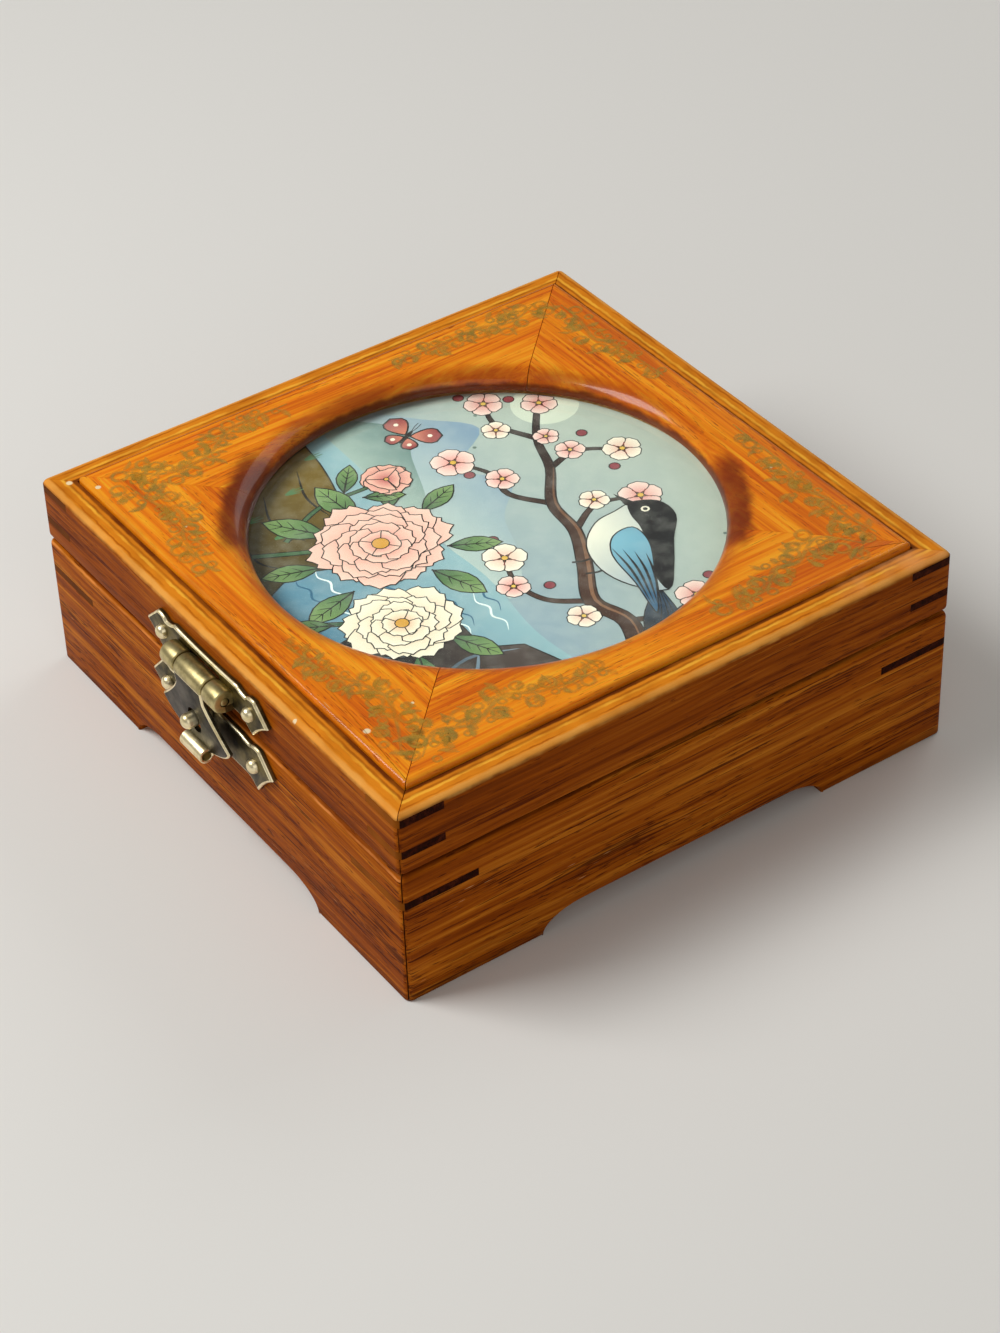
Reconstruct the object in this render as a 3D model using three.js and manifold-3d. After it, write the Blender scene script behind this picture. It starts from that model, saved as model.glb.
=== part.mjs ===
// A square wooden trinket box with a round picture window in its lid.
// Base and lid are four mitred boards each, their corners tied by dark wood splines. The lid
// turns on two butt hinges at the back and is held shut at the front by a brass latch.
// Millimetres, +Z up, the latch at the front on -Y. The origin is on the floor, under the
// middle of the whole thing, latch and hinges included.

import * as THREE from 'three';
import { mergeVertices } from 'three/addons/utils/BufferGeometryUtils.js';
import Module from 'manifold-3d';

const wasm = await Module();
wasm.setup();

// The wooden box
const boxSide = 115;
const baseHeight = 27.5;
const lidSideHeight = 12.7;
const wallThickness = 8;
const cornerRadius = 1.2;
const rimEase = 0.5;

// Clearances
const splitGap = 0.3;
const mitreGap = 0.3;
const glueGap = 0.2;
const seatGap = 0.2;
const runningGap = 0.3;
const pinGap = 0.2;

// Feet, left by a low arch cut in each side
const archHeight = 3.8;
const archFloorWidth = 60;
const archTopWidth = 43;
const archShoulder = 2;

// Bottom board and the cloth-covered card on it
const bottomThickness = 3;
const bottomLift = 5.5;
const grooveDepth = 2.5;
const linerThickness = 1.5;
const bottomCornerRadius = 0.5;
const cardCornerRadius = 1;

// Top frame of the lid: four mitred rails with a round opening
const ledgeWidth = 5;
const panelRise = 1.2;
const railThickness = 6;
const panelEase = 0.9;
const openingRadius = 42;
const roundoverWidth = 4.5;
const roundoverDepth = 3.3;
const openingLipHeight = 0.3;

// Picture: a painted glass disc, its backing board and the lid's cloth-covered card
const glassRadius = 44;
const glassThickness = 2;
const backingThickness = 1.2;
const lidLinerThickness = 0.9;

// Dark splines in the mitred corners
const splineThickness = 1.5;
const lidSplineReach = 9;
const baseSplineReach = 15;
const lidSplineHeights = [4.5, 11.1];
const baseSplineHeight = 21.3;

// Latch on the front
const latchOffset = 0.6;
const plateThickness = 1;
const plateHalfWidth = 19.5;
const notchDepth = 0.5;
const barrelHeight = 34;
const barrelAboveMiddle = 0.4;
const upperLobeRise = 4.1;
const upperLobeDrop = 4;
const upperBarRise = 3.8;
const upperBandWidth = 1.3;
const lowerPlateHeight = 22.3;
const lowerLobeRise = 4.7;
const lowerLobeDrop = 4.8;
const lowerBarRise = 4.8;
const lowerBarDrop = 3;
const barrelRadius = 2.25;
const barrelHalfLength = 8.9;
const barrelSink = 0.65;
const haspKnuckleLength = 8.8;
const haspShoulder = 2.6;
const haspFootMargin = 0.6;
const haspTaper = 2.2;
const haspThickness = 0.9;
const haspLength = 14.6;
const haspHalfWidth = 10.8;
const haspSlope = 5.3;
const haspPinRadius = 0.8;
const curlRadius = 1.5;
const curlWall = 0.6;
const curlLength = 8;
const knobHeight = 25.5;
const knobRadius = 1.4;
const knobReach = 6.8;
const knobCollar = 0.9;
const knobNeck = 0.6;
const knobEase = 0.5;
const knobTravel = 1.2;
const nailSpacing = 28;
const nailAboveMiddle = 0.5;
const nailHeadRadius = 1.45;
const nailHeadHeight = 1.1;
const nailShankRadius = 0.55;
const nailLength = 6;
const nailPoint = 1;

// Hinges on the back
const hingeSpacing = 60;
const leafWidth = 14;
const leafHeight = 9;
const leafThickness = 0.8;
const hingeBarrelRadius = 1.7;
const hingeKnuckleLength = 5;
const hingePinRadius = 0.7;
const hingeNailSpacing = 8.4;
const hingeNailDrop = 6;
const hingeNailHeadRadius = 1.1;
const hingeNailHeadHeight = 0.7;

// Worked out from the sizes above
const half = boxSide / 2;
const innerHalf = half - wallThickness;
const lidBottom = baseHeight + splitGap;
const ledgeTop = lidBottom + lidSideHeight;
const panelTop = ledgeTop + panelRise;
const panelHalf = half - ledgeWidth;
const railBottom = panelTop - railThickness;
const rebateFloor = railBottom - glueGap;
const lipBottom = panelTop - roundoverDepth - openingLipHeight;
const glassTop = lipBottom - seatGap;
const glassBottom = glassTop - glassThickness;
const backingTop = Math.min(railBottom, glassBottom) - glueGap;
const backingBottom = backingTop - backingThickness;
const lidLinerTop = backingBottom - glueGap;
const bottomTop = bottomLift + bottomThickness;
const upperPlateHeight = barrelHeight - barrelAboveMiddle;
const barrelReach = plateThickness + seatGap + barrelRadius - barrelSink;
const hingeReach = hingeBarrelRadius + seatGap;
const hingeHeight = baseHeight + splitGap / 2;
const frontReach = Math.max(knobReach, barrelReach + barrelRadius);
const backReach = Math.max(
  hingeReach + hingeBarrelRadius,
  seatGap + leafThickness + seatGap + hingeNailHeadHeight,
);
const tall = 2 * (panelTop + ledgeWidth);
const slack = 2;

const finish = (color, roughness, metalness) =>
  new THREE.MeshStandardMaterial({ color, roughness, metalness });
const wood = finish(0x93520f, 0.42, 0);
const topWood = finish(0xc8780f, 0.38, 0);
const splineWood = finish(0x2f1206, 0.5, 0);
const plywood = finish(0xb08a58, 0.75, 0);
const brass = finish(0x8c7f4e, 0.38, 1);
const darkBrass = finish(0x3a3a30, 0.42, 1);
const clearGlass = finish(0xdfe9e6, 0.05, 0);
const pictureBoard = finish(0x9fb4b6, 0.6, 0);
const cloth = finish(0x7c1f24, 0.85, 0);

// Solid and geometry helpers

function toSolid(geometry) {
  const bare = geometry.index ? geometry.toNonIndexed() : geometry.clone();
  bare.deleteAttribute('normal');
  bare.deleteAttribute('uv');
  const merged = mergeVertices(bare, 1e-4);
  const mesh = new wasm.Mesh({
    numProp: 3,
    vertProperties: new Float32Array(merged.attributes.position.array),
    triVerts: new Uint32Array(merged.index.array),
  });
  return new wasm.Manifold(mesh);
}

function toGeometry(solid) {
  const mesh = solid.getMesh();
  const geometry = new THREE.BufferGeometry();
  geometry.setAttribute('position', new THREE.BufferAttribute(mesh.vertProperties, 3));
  geometry.setIndex(new THREE.BufferAttribute(mesh.triVerts, 1));
  geometry.computeVertexNormals();
  return geometry;
}

const join = (solids) => solids.reduce((whole, solid) => whole.add(solid));
const cut = (solid, cutters) => cutters.reduce((left, cutter) => left.subtract(cutter), solid);

// A box from its low and high corners.
function block(low, high) {
  const geometry = new THREE.BoxGeometry(high[0] - low[0], high[1] - low[1], high[2] - low[2]);
  geometry.translate((low[0] + high[0]) / 2, (low[1] + high[1]) / 2, (low[2] + high[2]) / 2);
  return toSolid(geometry);
}

// An outline in X and Y, raised from one height to another.
function raise(shape, low, high, curveSegments = 6) {
  const options = { depth: high - low, bevelEnabled: false, curveSegments };
  const geometry = new THREE.ExtrudeGeometry(shape, options);
  geometry.translate(0, 0, low);
  return toSolid(geometry);
}

// An outline whose first axis is Y and second is Z, run along X about the middle.
function runAlongX(shape, length, curveSegments = 6) {
  const options = { depth: length, bevelEnabled: false, curveSegments };
  const geometry = new THREE.ExtrudeGeometry(shape, options);
  geometry.translate(0, 0, -length / 2);
  const turn = new THREE.Matrix4().set(0, 0, 1, 0, 1, 0, 0, 0, 0, 1, 0, 0, 0, 0, 0, 1);
  geometry.applyMatrix4(turn);
  return toSolid(geometry);
}

// An outline whose first axis is X and second is Z, given its depth towards -Y.
function faceOutline(shape, nearY, depth, curveSegments = 5) {
  const options = { depth, bevelEnabled: false, curveSegments };
  const geometry = new THREE.ExtrudeGeometry(shape, options);
  geometry.rotateX(Math.PI / 2);
  geometry.translate(0, nearY, 0);
  return toSolid(geometry);
}

function rodAlongX(radius, length, centre, sides = 16) {
  const geometry = new THREE.CylinderGeometry(radius, radius, length, sides);
  geometry.rotateZ(Math.PI / 2);
  geometry.translate(centre[0], centre[1], centre[2]);
  return toSolid(geometry);
}

// A turned piece whose axis points to -Y, from points of radius and distance along the axis.
function turnedTowardsFront(profile, place, sides = 12) {
  const points = profile.map(([radius, along]) => new THREE.Vector2(radius, along));
  const geometry = new THREE.LatheGeometry(points, sides);
  geometry.rotateX(Math.PI);
  geometry.translate(place[0], place[1], place[2]);
  return toSolid(geometry);
}

function polygon(points) {
  const shape = new THREE.Shape();
  points.forEach(([a, b], index) => (index ? shape.lineTo(a, b) : shape.moveTo(a, b)));
  shape.closePath();
  return shape;
}

function roundedSquare(halfSide, radius) {
  const flat = halfSide - radius;
  const shape = new THREE.Shape();
  shape.moveTo(-flat, -halfSide);
  shape.lineTo(flat, -halfSide);
  shape.absarc(flat, -flat, radius, -Math.PI / 2, 0, false);
  shape.lineTo(halfSide, flat);
  shape.absarc(flat, flat, radius, 0, Math.PI / 2, false);
  shape.lineTo(-flat, halfSide);
  shape.absarc(-flat, flat, radius, Math.PI / 2, Math.PI, false);
  shape.lineTo(-halfSide, -flat);
  shape.absarc(-flat, -flat, radius, Math.PI, 1.5 * Math.PI, false);
  return shape;
}

// Everything in front of both mitre planes, each held back by half the glue gap.
function mitreWedge(gap) {
  const back = gap / Math.SQRT2;
  const far = 2 * boxSide;
  return raise(polygon([[0, -back], [-far, -far - back], [far, -far - back]]), -slack, tall);
}

const outerPrism = raise(roundedSquare(half, cornerRadius), -slack, tall, 4);
const sideWedge = mitreWedge(mitreGap);

// Corner splines: flat triangles that fill a kerf sawn across each corner

function splinePlan(reach, grow) {
  const inner = reach + grow * Math.SQRT2;
  const out = half + slack;
  return polygon([[half - inner, out], [half - inner, half], [half, half - inner],
    [out, half - inner], [out, out]]);
}

function cornerSpline(reach, centreHeight) {
  const low = centreHeight - splineThickness / 2;
  return raise(splinePlan(reach, 0), low, low + splineThickness).intersect(outerPrism);
}

// The kerf runs right through the corner, so it is cut from both boards that meet there.
function kerfs(reach, centreHeight) {
  const low = centreHeight - splineThickness / 2 - glueGap;
  const kerf = raise(splinePlan(reach, glueGap), low, low + splineThickness + 2 * glueGap);
  return [kerf.rotate([0, 0, -90]), kerf.rotate([0, 0, 180])];
}

// Nail holes in the front board, and in the back board once that is turned round

const hingeHalfSpacing = hingeSpacing / 2;

function nailHole(x, z) {
  const radius = nailShankRadius + glueGap;
  const depth = nailLength + 2 * slack;
  const geometry = new THREE.CylinderGeometry(radius, radius, depth, 8);
  geometry.translate(x, -half, z);
  return toSolid(geometry);
}

const latchNailXs = [-1, 1].map((side) => latchOffset + (side * nailSpacing) / 2);
const hingeXs = [-hingeHalfSpacing, hingeHalfSpacing];
const hingeNailXs = (x) => [x - hingeNailSpacing / 2, x + hingeNailSpacing / 2];
const upperNailZ = upperPlateHeight + nailAboveMiddle;
const lowerNailZ = lowerPlateHeight + nailAboveMiddle;

// Wooden boards

function boardProfile(bottom, top, lowEase, highEase) {
  const shape = new THREE.Shape();
  shape.moveTo(-half + lowEase, bottom);
  shape.lineTo(-innerHalf, bottom);
  shape.lineTo(-innerHalf, top);
  shape.lineTo(-half + highEase, top);
  shape.quadraticCurveTo(-half, top, -half, top - highEase);
  shape.lineTo(-half, bottom + lowEase);
  shape.quadraticCurveTo(-half, bottom, -half + lowEase, bottom);
  return shape;
}

function board(bottom, top, lowEase, highEase) {
  return runAlongX(boardProfile(bottom, top, lowEase, highEase), boxSide + slack, 3)
    .intersect(sideWedge)
    .intersect(outerPrism);
}

function footArch() {
  const foot = archFloorWidth / 2;
  const flat = archTopWidth / 2;
  const shape = new THREE.Shape();
  shape.moveTo(-foot, -slack);
  shape.lineTo(foot, -slack);
  shape.lineTo(foot, 0);
  shape.quadraticCurveTo(foot - archShoulder, archHeight, flat, archHeight);
  shape.lineTo(-flat, archHeight);
  shape.quadraticCurveTo(-foot + archShoulder, archHeight, -foot, 0);
  return faceOutline(shape, -innerHalf + slack, wallThickness + 2 * slack, 4);
}

function baseBoard(side) {
  const groove = block(
    [-half, -innerHalf - grooveDepth - glueGap, bottomLift - glueGap],
    [half, -innerHalf + slack, bottomTop + glueGap],
  );
  const holes = [];
  if (side === 'front') {
    latchNailXs.forEach((x) => holes.push(nailHole(x, lowerNailZ)));
    holes.push(knobHole());
  }
  if (side === 'back') {
    hingeXs.flatMap(hingeNailXs)
      .forEach((x) => holes.push(nailHole(x, hingeHeight - hingeNailDrop)));
  }
  return cut(board(0, baseHeight, rimEase, rimEase), [
    footArch(), groove, ...kerfs(baseSplineReach, baseSplineHeight), ...holes]);
}

function lidBoard(side) {
  const rebate = block(
    [-half, -panelHalf - glueGap, rebateFloor],
    [half, -innerHalf + slack, ledgeTop + slack],
  );
  const holes = [];
  if (side === 'front') latchNailXs.forEach((x) => holes.push(nailHole(x, upperNailZ)));
  if (side === 'back') {
    hingeXs.flatMap(hingeNailXs)
      .forEach((x) => holes.push(nailHole(x, hingeHeight + hingeNailDrop)));
  }
  const saws = lidSplineHeights.flatMap((height) => kerfs(lidSplineReach, lidBottom + height));
  return cut(board(lidBottom, ledgeTop, rimEase, panelEase), [rebate, ...saws, ...holes]);
}

// One rail of the top frame, with its share of the round opening and the glass seat.
function topRail() {
  const profile = new THREE.Shape();
  profile.moveTo(-panelHalf, railBottom);
  profile.lineTo(0, railBottom);
  profile.lineTo(0, panelTop);
  profile.lineTo(-panelHalf + panelEase, panelTop);
  profile.quadraticCurveTo(-panelHalf, panelTop, -panelHalf, panelTop - panelEase);
  const blank = runAlongX(profile, 2 * panelHalf, 3).intersect(sideWedge);
  return blank.subtract(openingCutter());
}

function openingCutter() {
  const seatRadius = glassRadius + seatGap + glueGap;
  const steps = 5;
  const points = [
    new THREE.Vector2(0, railBottom - slack),
    new THREE.Vector2(seatRadius, railBottom - slack),
    new THREE.Vector2(seatRadius, lipBottom),
    new THREE.Vector2(openingRadius, lipBottom),
  ];
  for (let step = 0; step <= steps; step += 1) {
    const turn = (step / steps) * (Math.PI / 2);
    points.push(new THREE.Vector2(
      openingRadius + roundoverWidth * (1 - Math.cos(turn)),
      panelTop - roundoverDepth * (1 - Math.sin(turn)),
    ));
  }
  points.push(new THREE.Vector2(openingRadius + roundoverWidth, panelTop + slack));
  points.push(new THREE.Vector2(0, panelTop + slack));
  const geometry = new THREE.LatheGeometry(points, 72);
  geometry.rotateX(Math.PI / 2);
  return toSolid(geometry);
}

function disc(radius, low, high) {
  const geometry = new THREE.CylinderGeometry(radius, radius, high - low, 72);
  geometry.rotateX(Math.PI / 2);
  geometry.translate(0, 0, (low + high) / 2);
  return geometry;
}

function squarePanel(halfSide, low, high, radius) {
  return raise(roundedSquare(halfSide, radius), low, high, 3);
}

// Latch

const faceY = -half - seatGap;
const barrelAxis = [latchOffset, -half - barrelReach, barrelHeight];
const outerKnuckleLength = barrelHalfLength - haspKnuckleLength / 2 - runningGap;

// Both plates are a bar with a pointed, lobed end at each side. x and z from the plate's middle.
function plateOutline(rise, drop, waist, lowWaist) {
  const w = plateHalfWidth;
  const shape = new THREE.Shape();
  shape.moveTo(0, waist);
  shape.quadraticCurveTo(0.3 * w, waist, 0.52 * w, rise);
  shape.quadraticCurveTo(0.58 * w, waist - notchDepth, 0.66 * w, waist - notchDepth);
  shape.quadraticCurveTo(0.7 * w, rise + 0.4 * notchDepth, 0.8 * w, rise);
  shape.quadraticCurveTo(0.9 * w, 0.55 * rise, w, 0.1 * rise);
  shape.quadraticCurveTo(0.84 * w, -0.35 * drop, 0.74 * w, -drop);
  shape.quadraticCurveTo(0.64 * w, -0.6 * drop, 0.56 * w, -lowWaist);
  shape.lineTo(-0.56 * w, -lowWaist);
  shape.quadraticCurveTo(-0.64 * w, -0.6 * drop, -0.74 * w, -drop);
  shape.quadraticCurveTo(-0.84 * w, -0.35 * drop, -w, 0.1 * rise);
  shape.quadraticCurveTo(-0.9 * w, 0.55 * rise, -0.8 * w, rise);
  shape.quadraticCurveTo(-0.7 * w, rise + 0.4 * notchDepth, -0.66 * w, waist - notchDepth);
  shape.quadraticCurveTo(-0.58 * w, waist - notchDepth, -0.52 * w, rise);
  shape.quadraticCurveTo(-0.3 * w, waist, 0, waist);
  return shape;
}

function latchPlate(shape, centreHeight) {
  return faceOutline(shape, 0, plateThickness).translate([latchOffset, faceY, centreHeight]);
}

function upperPlate() {
  const lowWaist = upperPlateHeight - (barrelHeight - barrelRadius);
  const windowHalf = haspKnuckleLength / 2 + runningGap;
  const outline = latchPlate(
    plateOutline(upperLobeRise, upperLobeDrop, upperBarRise, lowWaist), upperPlateHeight);
  const window = block(
    [latchOffset - windowHalf, faceY - plateThickness - slack, barrelHeight - 2 * barrelRadius],
    [latchOffset + windowHalf, faceY + slack, upperPlateHeight + upperBarRise - upperBandWidth],
  );
  const pieces = [outline.subtract(window)];
  [-1, 1].forEach((side) => {
    const x = latchOffset + side * (windowHalf + outerKnuckleLength / 2);
    const reach = outerKnuckleLength / 2;
    pieces.push(rodAlongX(barrelRadius, outerKnuckleLength, [x, barrelAxis[1], barrelHeight]));
    pieces.push(block(
      [x - reach, barrelAxis[1], barrelHeight - barrelRadius],
      [x + reach, faceY - plateThickness / 2, barrelHeight - barrelRadius + haspThickness],
    ));
  });
  const bore = rodAlongX(haspPinRadius + pinGap, boxSide, barrelAxis);
  const holes = latchNailXs.map((x) => nailHole(x, upperNailZ));
  return cut(join(pieces), [bore, ...holes]);
}

function knobHole() {
  const radius = knobRadius * 0.6 + glueGap;
  const geometry = new THREE.CylinderGeometry(radius, radius, nailLength + 2 * slack, 12);
  geometry.translate(latchOffset, -half, knobHeight);
  return toSolid(geometry);
}

function catchPlate() {
  const plate = latchPlate(
    plateOutline(lowerLobeRise, lowerLobeDrop, lowerBarRise, lowerBarDrop), lowerPlateHeight);
  return cut(plate, [knobHole(), ...latchNailXs.map((x) => nailHole(x, lowerNailZ))]);
}

// Turned knob that the hasp snaps over: collar, neck, rounded head, and a tail in the wood.
function catchKnob() {
  const seat = seatGap + plateThickness + glueGap;
  const tail = knobRadius * 0.6;
  const neck = knobRadius * 0.75;
  const neckStart = seat + knobCollar + knobEase;
  const neckEnd = neckStart + knobNeck;
  const profile = [
    [0, -nailLength / 2], [tail, -nailLength / 2], [tail, seat], [knobRadius, seat],
    [knobRadius, seat + knobCollar], [neck, neckStart], [neck, neckEnd],
    [knobRadius, neckEnd + knobEase], [knobRadius, knobReach - 1.6 * knobEase],
    [neck, knobReach - 0.4 * knobEase], [0, knobReach]];
  return turnedTowardsFront(profile, [latchOffset, -half, knobHeight]);
}

// Round-headed nail standing on a plate or leaf of the given thickness.
function nail(x, z, thickness, headRadius, headHeight) {
  const seat = seatGap + thickness + glueGap;
  const profile = [
    [0, seat - nailLength], [nailShankRadius * 0.4, seat - nailLength],
    [nailShankRadius, seat - nailLength + nailPoint], [nailShankRadius, seat], [headRadius, seat],
    [headRadius * 0.92, seat + headHeight * 0.45], [headRadius * 0.6, seat + headHeight * 0.85],
    [0, seat + headHeight]];
  return turnedTowardsFront(profile, [x, -half, z], 10);
}

// The hasp, drawn hanging straight down from the barrel and then tipped by its slope.
function hasp() {
  const knuckle = haspKnuckleLength / 2;
  const widest = 0.66 * haspLength;
  const foot = curlLength / 2 + haspFootMargin;
  const footTop = -haspLength + haspFootMargin;
  const bulge = haspHalfWidth - haspFootMargin;
  const outer = -barrelRadius;
  const shape = new THREE.Shape();
  shape.moveTo(-knuckle, 0);
  shape.lineTo(-knuckle, -haspShoulder);
  shape.lineTo(-haspHalfWidth, -widest);
  shape.quadraticCurveTo(-bulge, -widest - haspTaper, -foot, footTop);
  shape.lineTo(-foot, -haspLength);
  shape.lineTo(foot, -haspLength);
  shape.lineTo(foot, footTop);
  shape.quadraticCurveTo(bulge, -widest - haspTaper, haspHalfWidth, -widest);
  shape.lineTo(knuckle, -haspShoulder);
  shape.lineTo(knuckle, 0);
  const flat = faceOutline(shape, outer + haspThickness, haspThickness);
  const barrel = rodAlongX(barrelRadius, haspKnuckleLength, [0, 0, 0]);
  const curlCentre = [0, outer + haspThickness - curlRadius, -haspLength];
  const curl = rodAlongX(curlRadius, curlLength, curlCentre, 14);
  const curlBore = rodAlongX(curlRadius - curlWall, boxSide, curlCentre, 14);
  const bore = rodAlongX(haspPinRadius + pinGap, boxSide, [0, 0, 0]);
  const tipped = cut(join([flat, barrel, curl]), [curlBore, bore])
    .rotate([haspSlope, 0, 0])
    .translate(barrelAxis);
  return tipped.subtract(knobSlot());
}

// The knob leaves the slot along an arc, so the slot is longer below the knob than above it.
function knobSlot() {
  const halfWidth = knobRadius + runningGap + pinGap;
  const above = knobHeight + runningGap;
  const below = knobHeight - knobTravel;
  const shape = new THREE.Shape();
  shape.moveTo(-halfWidth, below);
  shape.absarc(0, below, halfWidth, Math.PI, 0, false);
  shape.absarc(0, above, halfWidth, 0, Math.PI, false);
  return faceOutline(shape, 0, boxSide, 8)
    .translate([latchOffset, -half - seatGap - plateThickness, 0]);
}

// Hinges, drawn on the front face like the latch and then turned to the back

function hingeLeaf(x, upper) {
  const side = upper ? 1 : -1;
  const near = hingeBarrelRadius + runningGap;
  const reach = leafWidth / 2;
  const middle = hingeKnuckleLength / 2;
  const axisY = -half - hingeReach;
  const skin = [-half - seatGap - leafThickness, -half - seatGap];
  const span = (from, to) => [Math.min(side * from, side * to), Math.max(side * from, side * to)];
  const [plateLow, plateHigh] = span(near, near + leafHeight);
  const [webLow, webHigh] = span(0, near + leafThickness);
  const knuckles = upper
    ? [[-middle, middle]]
    : [[-reach, -middle - runningGap], [middle + runningGap, reach]];
  const pieces = [block(
    [x - reach, skin[0], hingeHeight + plateLow], [x + reach, skin[1], hingeHeight + plateHigh])];
  knuckles.forEach(([from, to]) => {
    pieces.push(rodAlongX(hingeBarrelRadius, to - from,
      [x + (from + to) / 2, axisY, hingeHeight], 14));
    pieces.push(block(
      [x + from, skin[0], hingeHeight + webLow], [x + to, skin[1], hingeHeight + webHigh]));
  });
  const bore = rodAlongX(hingePinRadius + pinGap, leafWidth * 2, [x, axisY, hingeHeight], 14);
  const holes = hingeNailXs(x).map((nailX) =>
    nailHole(nailX, hingeHeight + side * hingeNailDrop));
  return cut(join(pieces), [bore, ...holes]);
}

// The assembly

const trinketBox = new THREE.Group();
trinketBox.position.y = (frontReach - backReach) / 2;

function addPiece(name, shape, material, quarterTurns = 0) {
  const geometry = shape instanceof wasm.Manifold ? toGeometry(shape) : shape;
  const mesh = new THREE.Mesh(geometry, material);
  mesh.name = name;
  mesh.rotation.z = (quarterTurns * Math.PI) / 2;
  trinketBox.add(mesh);
}

const sides = ['front', 'right', 'back', 'left'];
const corners = ['back_right', 'back_left', 'front_left', 'front_right'];

sides.forEach((side, turn) => {
  addPiece(`base_board_${side}`, baseBoard(side), wood, turn);
  addPiece(`lid_board_${side}`, lidBoard(side), wood, turn);
  addPiece(`top_rail_${side}`, topRail(), topWood, turn);
});

corners.forEach((corner, turn) => {
  addPiece(`base_spline_${corner}`, cornerSpline(baseSplineReach, baseSplineHeight),
    splineWood, turn);
  lidSplineHeights.forEach((height, index) => {
    addPiece(`lid_spline_${index ? 'upper' : 'lower'}_${corner}`,
      cornerSpline(lidSplineReach, lidBottom + height), splineWood, turn);
  });
});

const tongueHalf = innerHalf + grooveDepth - glueGap;
const linerHalf = innerHalf - runningGap;
addPiece('bottom_board',
  squarePanel(tongueHalf, bottomLift, bottomTop, bottomCornerRadius), plywood);
addPiece('base_liner', squarePanel(linerHalf, bottomTop + glueGap,
  bottomTop + glueGap + linerThickness, cardCornerRadius), cloth);
addPiece('picture_glass', disc(glassRadius, glassBottom, glassTop), clearGlass);
addPiece('picture_backing',
  squarePanel(linerHalf, backingBottom, backingTop, cardCornerRadius), pictureBoard);
addPiece('lid_liner', squarePanel(linerHalf, lidLinerTop - lidLinerThickness, lidLinerTop,
  cardCornerRadius), cloth);

addPiece('latch_plate', upperPlate(), brass);
addPiece('latch_pin', rodAlongX(haspPinRadius, 2 * barrelHalfLength, barrelAxis, 12), brass);
addPiece('hasp', hasp(), darkBrass);
addPiece('catch_plate', catchPlate(), brass);
addPiece('catch_knob', catchKnob(), brass);
latchNailXs.forEach((x, index) => {
  const hand = index ? 'right' : 'left';
  addPiece(`latch_nail_${hand}`,
    nail(x, upperNailZ, plateThickness, nailHeadRadius, nailHeadHeight), brass);
  addPiece(`catch_nail_${hand}`,
    nail(x, lowerNailZ, plateThickness, nailHeadRadius, nailHeadHeight), brass);
});

hingeXs.forEach((x, hingeIndex) => {
  const hinge = `hinge_${hingeIndex + 1}`;
  addPiece(`${hinge}_base_leaf`, hingeLeaf(x, false), brass, 2);
  addPiece(`${hinge}_lid_leaf`, hingeLeaf(x, true), brass, 2);
  addPiece(`${hinge}_pin`,
    rodAlongX(hingePinRadius, leafWidth, [x, -half - hingeReach, hingeHeight], 12), brass, 2);
  hingeNailXs(x).forEach((nailX, index) => {
    const low = nail(nailX, hingeHeight - hingeNailDrop, leafThickness,
      hingeNailHeadRadius, hingeNailHeadHeight);
    const high = nail(nailX, hingeHeight + hingeNailDrop, leafThickness,
      hingeNailHeadRadius, hingeNailHeadHeight);
    addPiece(`${hinge}_base_nail_${index + 1}`, low, brass, 2);
    addPiece(`${hinge}_lid_nail_${index + 1}`, high, brass, 2);
  });
});

export default trinketBox;
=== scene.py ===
"""A square wooden trinket box with a round picture window in its lid, dressed over its frame.

Everything is modelled in millimetres about the middle of the box, on the floor, with the latch
facing -Y. A finished piece is brought to metres and to its place in the frame, and then rides
on its body.
"""

from __future__ import annotations

import logging
import math
import random
from contextlib import contextmanager
from dataclasses import dataclass, field
from enum import Enum
from functools import partial
from typing import Any, Callable, Iterator, Sequence

import bmesh
import bpy
from mathutils import Matrix, Vector

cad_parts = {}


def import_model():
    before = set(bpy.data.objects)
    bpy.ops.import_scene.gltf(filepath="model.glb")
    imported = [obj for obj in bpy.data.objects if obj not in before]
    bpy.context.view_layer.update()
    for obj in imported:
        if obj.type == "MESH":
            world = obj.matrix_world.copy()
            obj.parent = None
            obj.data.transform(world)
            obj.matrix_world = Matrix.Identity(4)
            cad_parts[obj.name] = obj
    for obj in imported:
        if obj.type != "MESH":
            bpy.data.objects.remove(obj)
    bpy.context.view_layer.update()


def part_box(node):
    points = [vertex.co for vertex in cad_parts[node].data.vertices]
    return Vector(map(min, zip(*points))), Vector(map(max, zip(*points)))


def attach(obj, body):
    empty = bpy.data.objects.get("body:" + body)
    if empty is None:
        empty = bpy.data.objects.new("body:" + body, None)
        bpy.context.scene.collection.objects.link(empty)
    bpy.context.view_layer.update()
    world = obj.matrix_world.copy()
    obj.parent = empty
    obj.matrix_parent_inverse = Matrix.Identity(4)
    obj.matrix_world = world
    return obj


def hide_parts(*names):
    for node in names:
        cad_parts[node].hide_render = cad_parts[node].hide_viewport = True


Piece = bpy.types.Object
Tree = bpy.types.NodeTree
Socket = bpy.types.NodeSocket
Material = bpy.types.Material
Edge = bmesh.types.BMEdge
Line = Sequence[Vector]
Adder = Callable[..., Any]
Corners = Sequence[tuple[float, float]]

LOG = logging.getLogger("trinket_box")
MM = 0.001
QUARTER = math.pi / 2
ROOT2 = math.sqrt(2)
# The Mix node has sockets for numbers and vectors before those for colours.
BEFORE_COLOURS = (None,) * 5
MIXED_COLOUR = 2
TOWARDS_FRONT = (QUARTER, 0.0, 0.0)
SIDES = ("front", "right", "back", "left")
CORNERS = ("back_right", "back_left", "front_left", "front_right")


class Pick(Enum):
    """What a selection in edit mode is made of."""

    VERT = "verts"
    EDGE = "edges"
    FACE = "faces"


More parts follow.
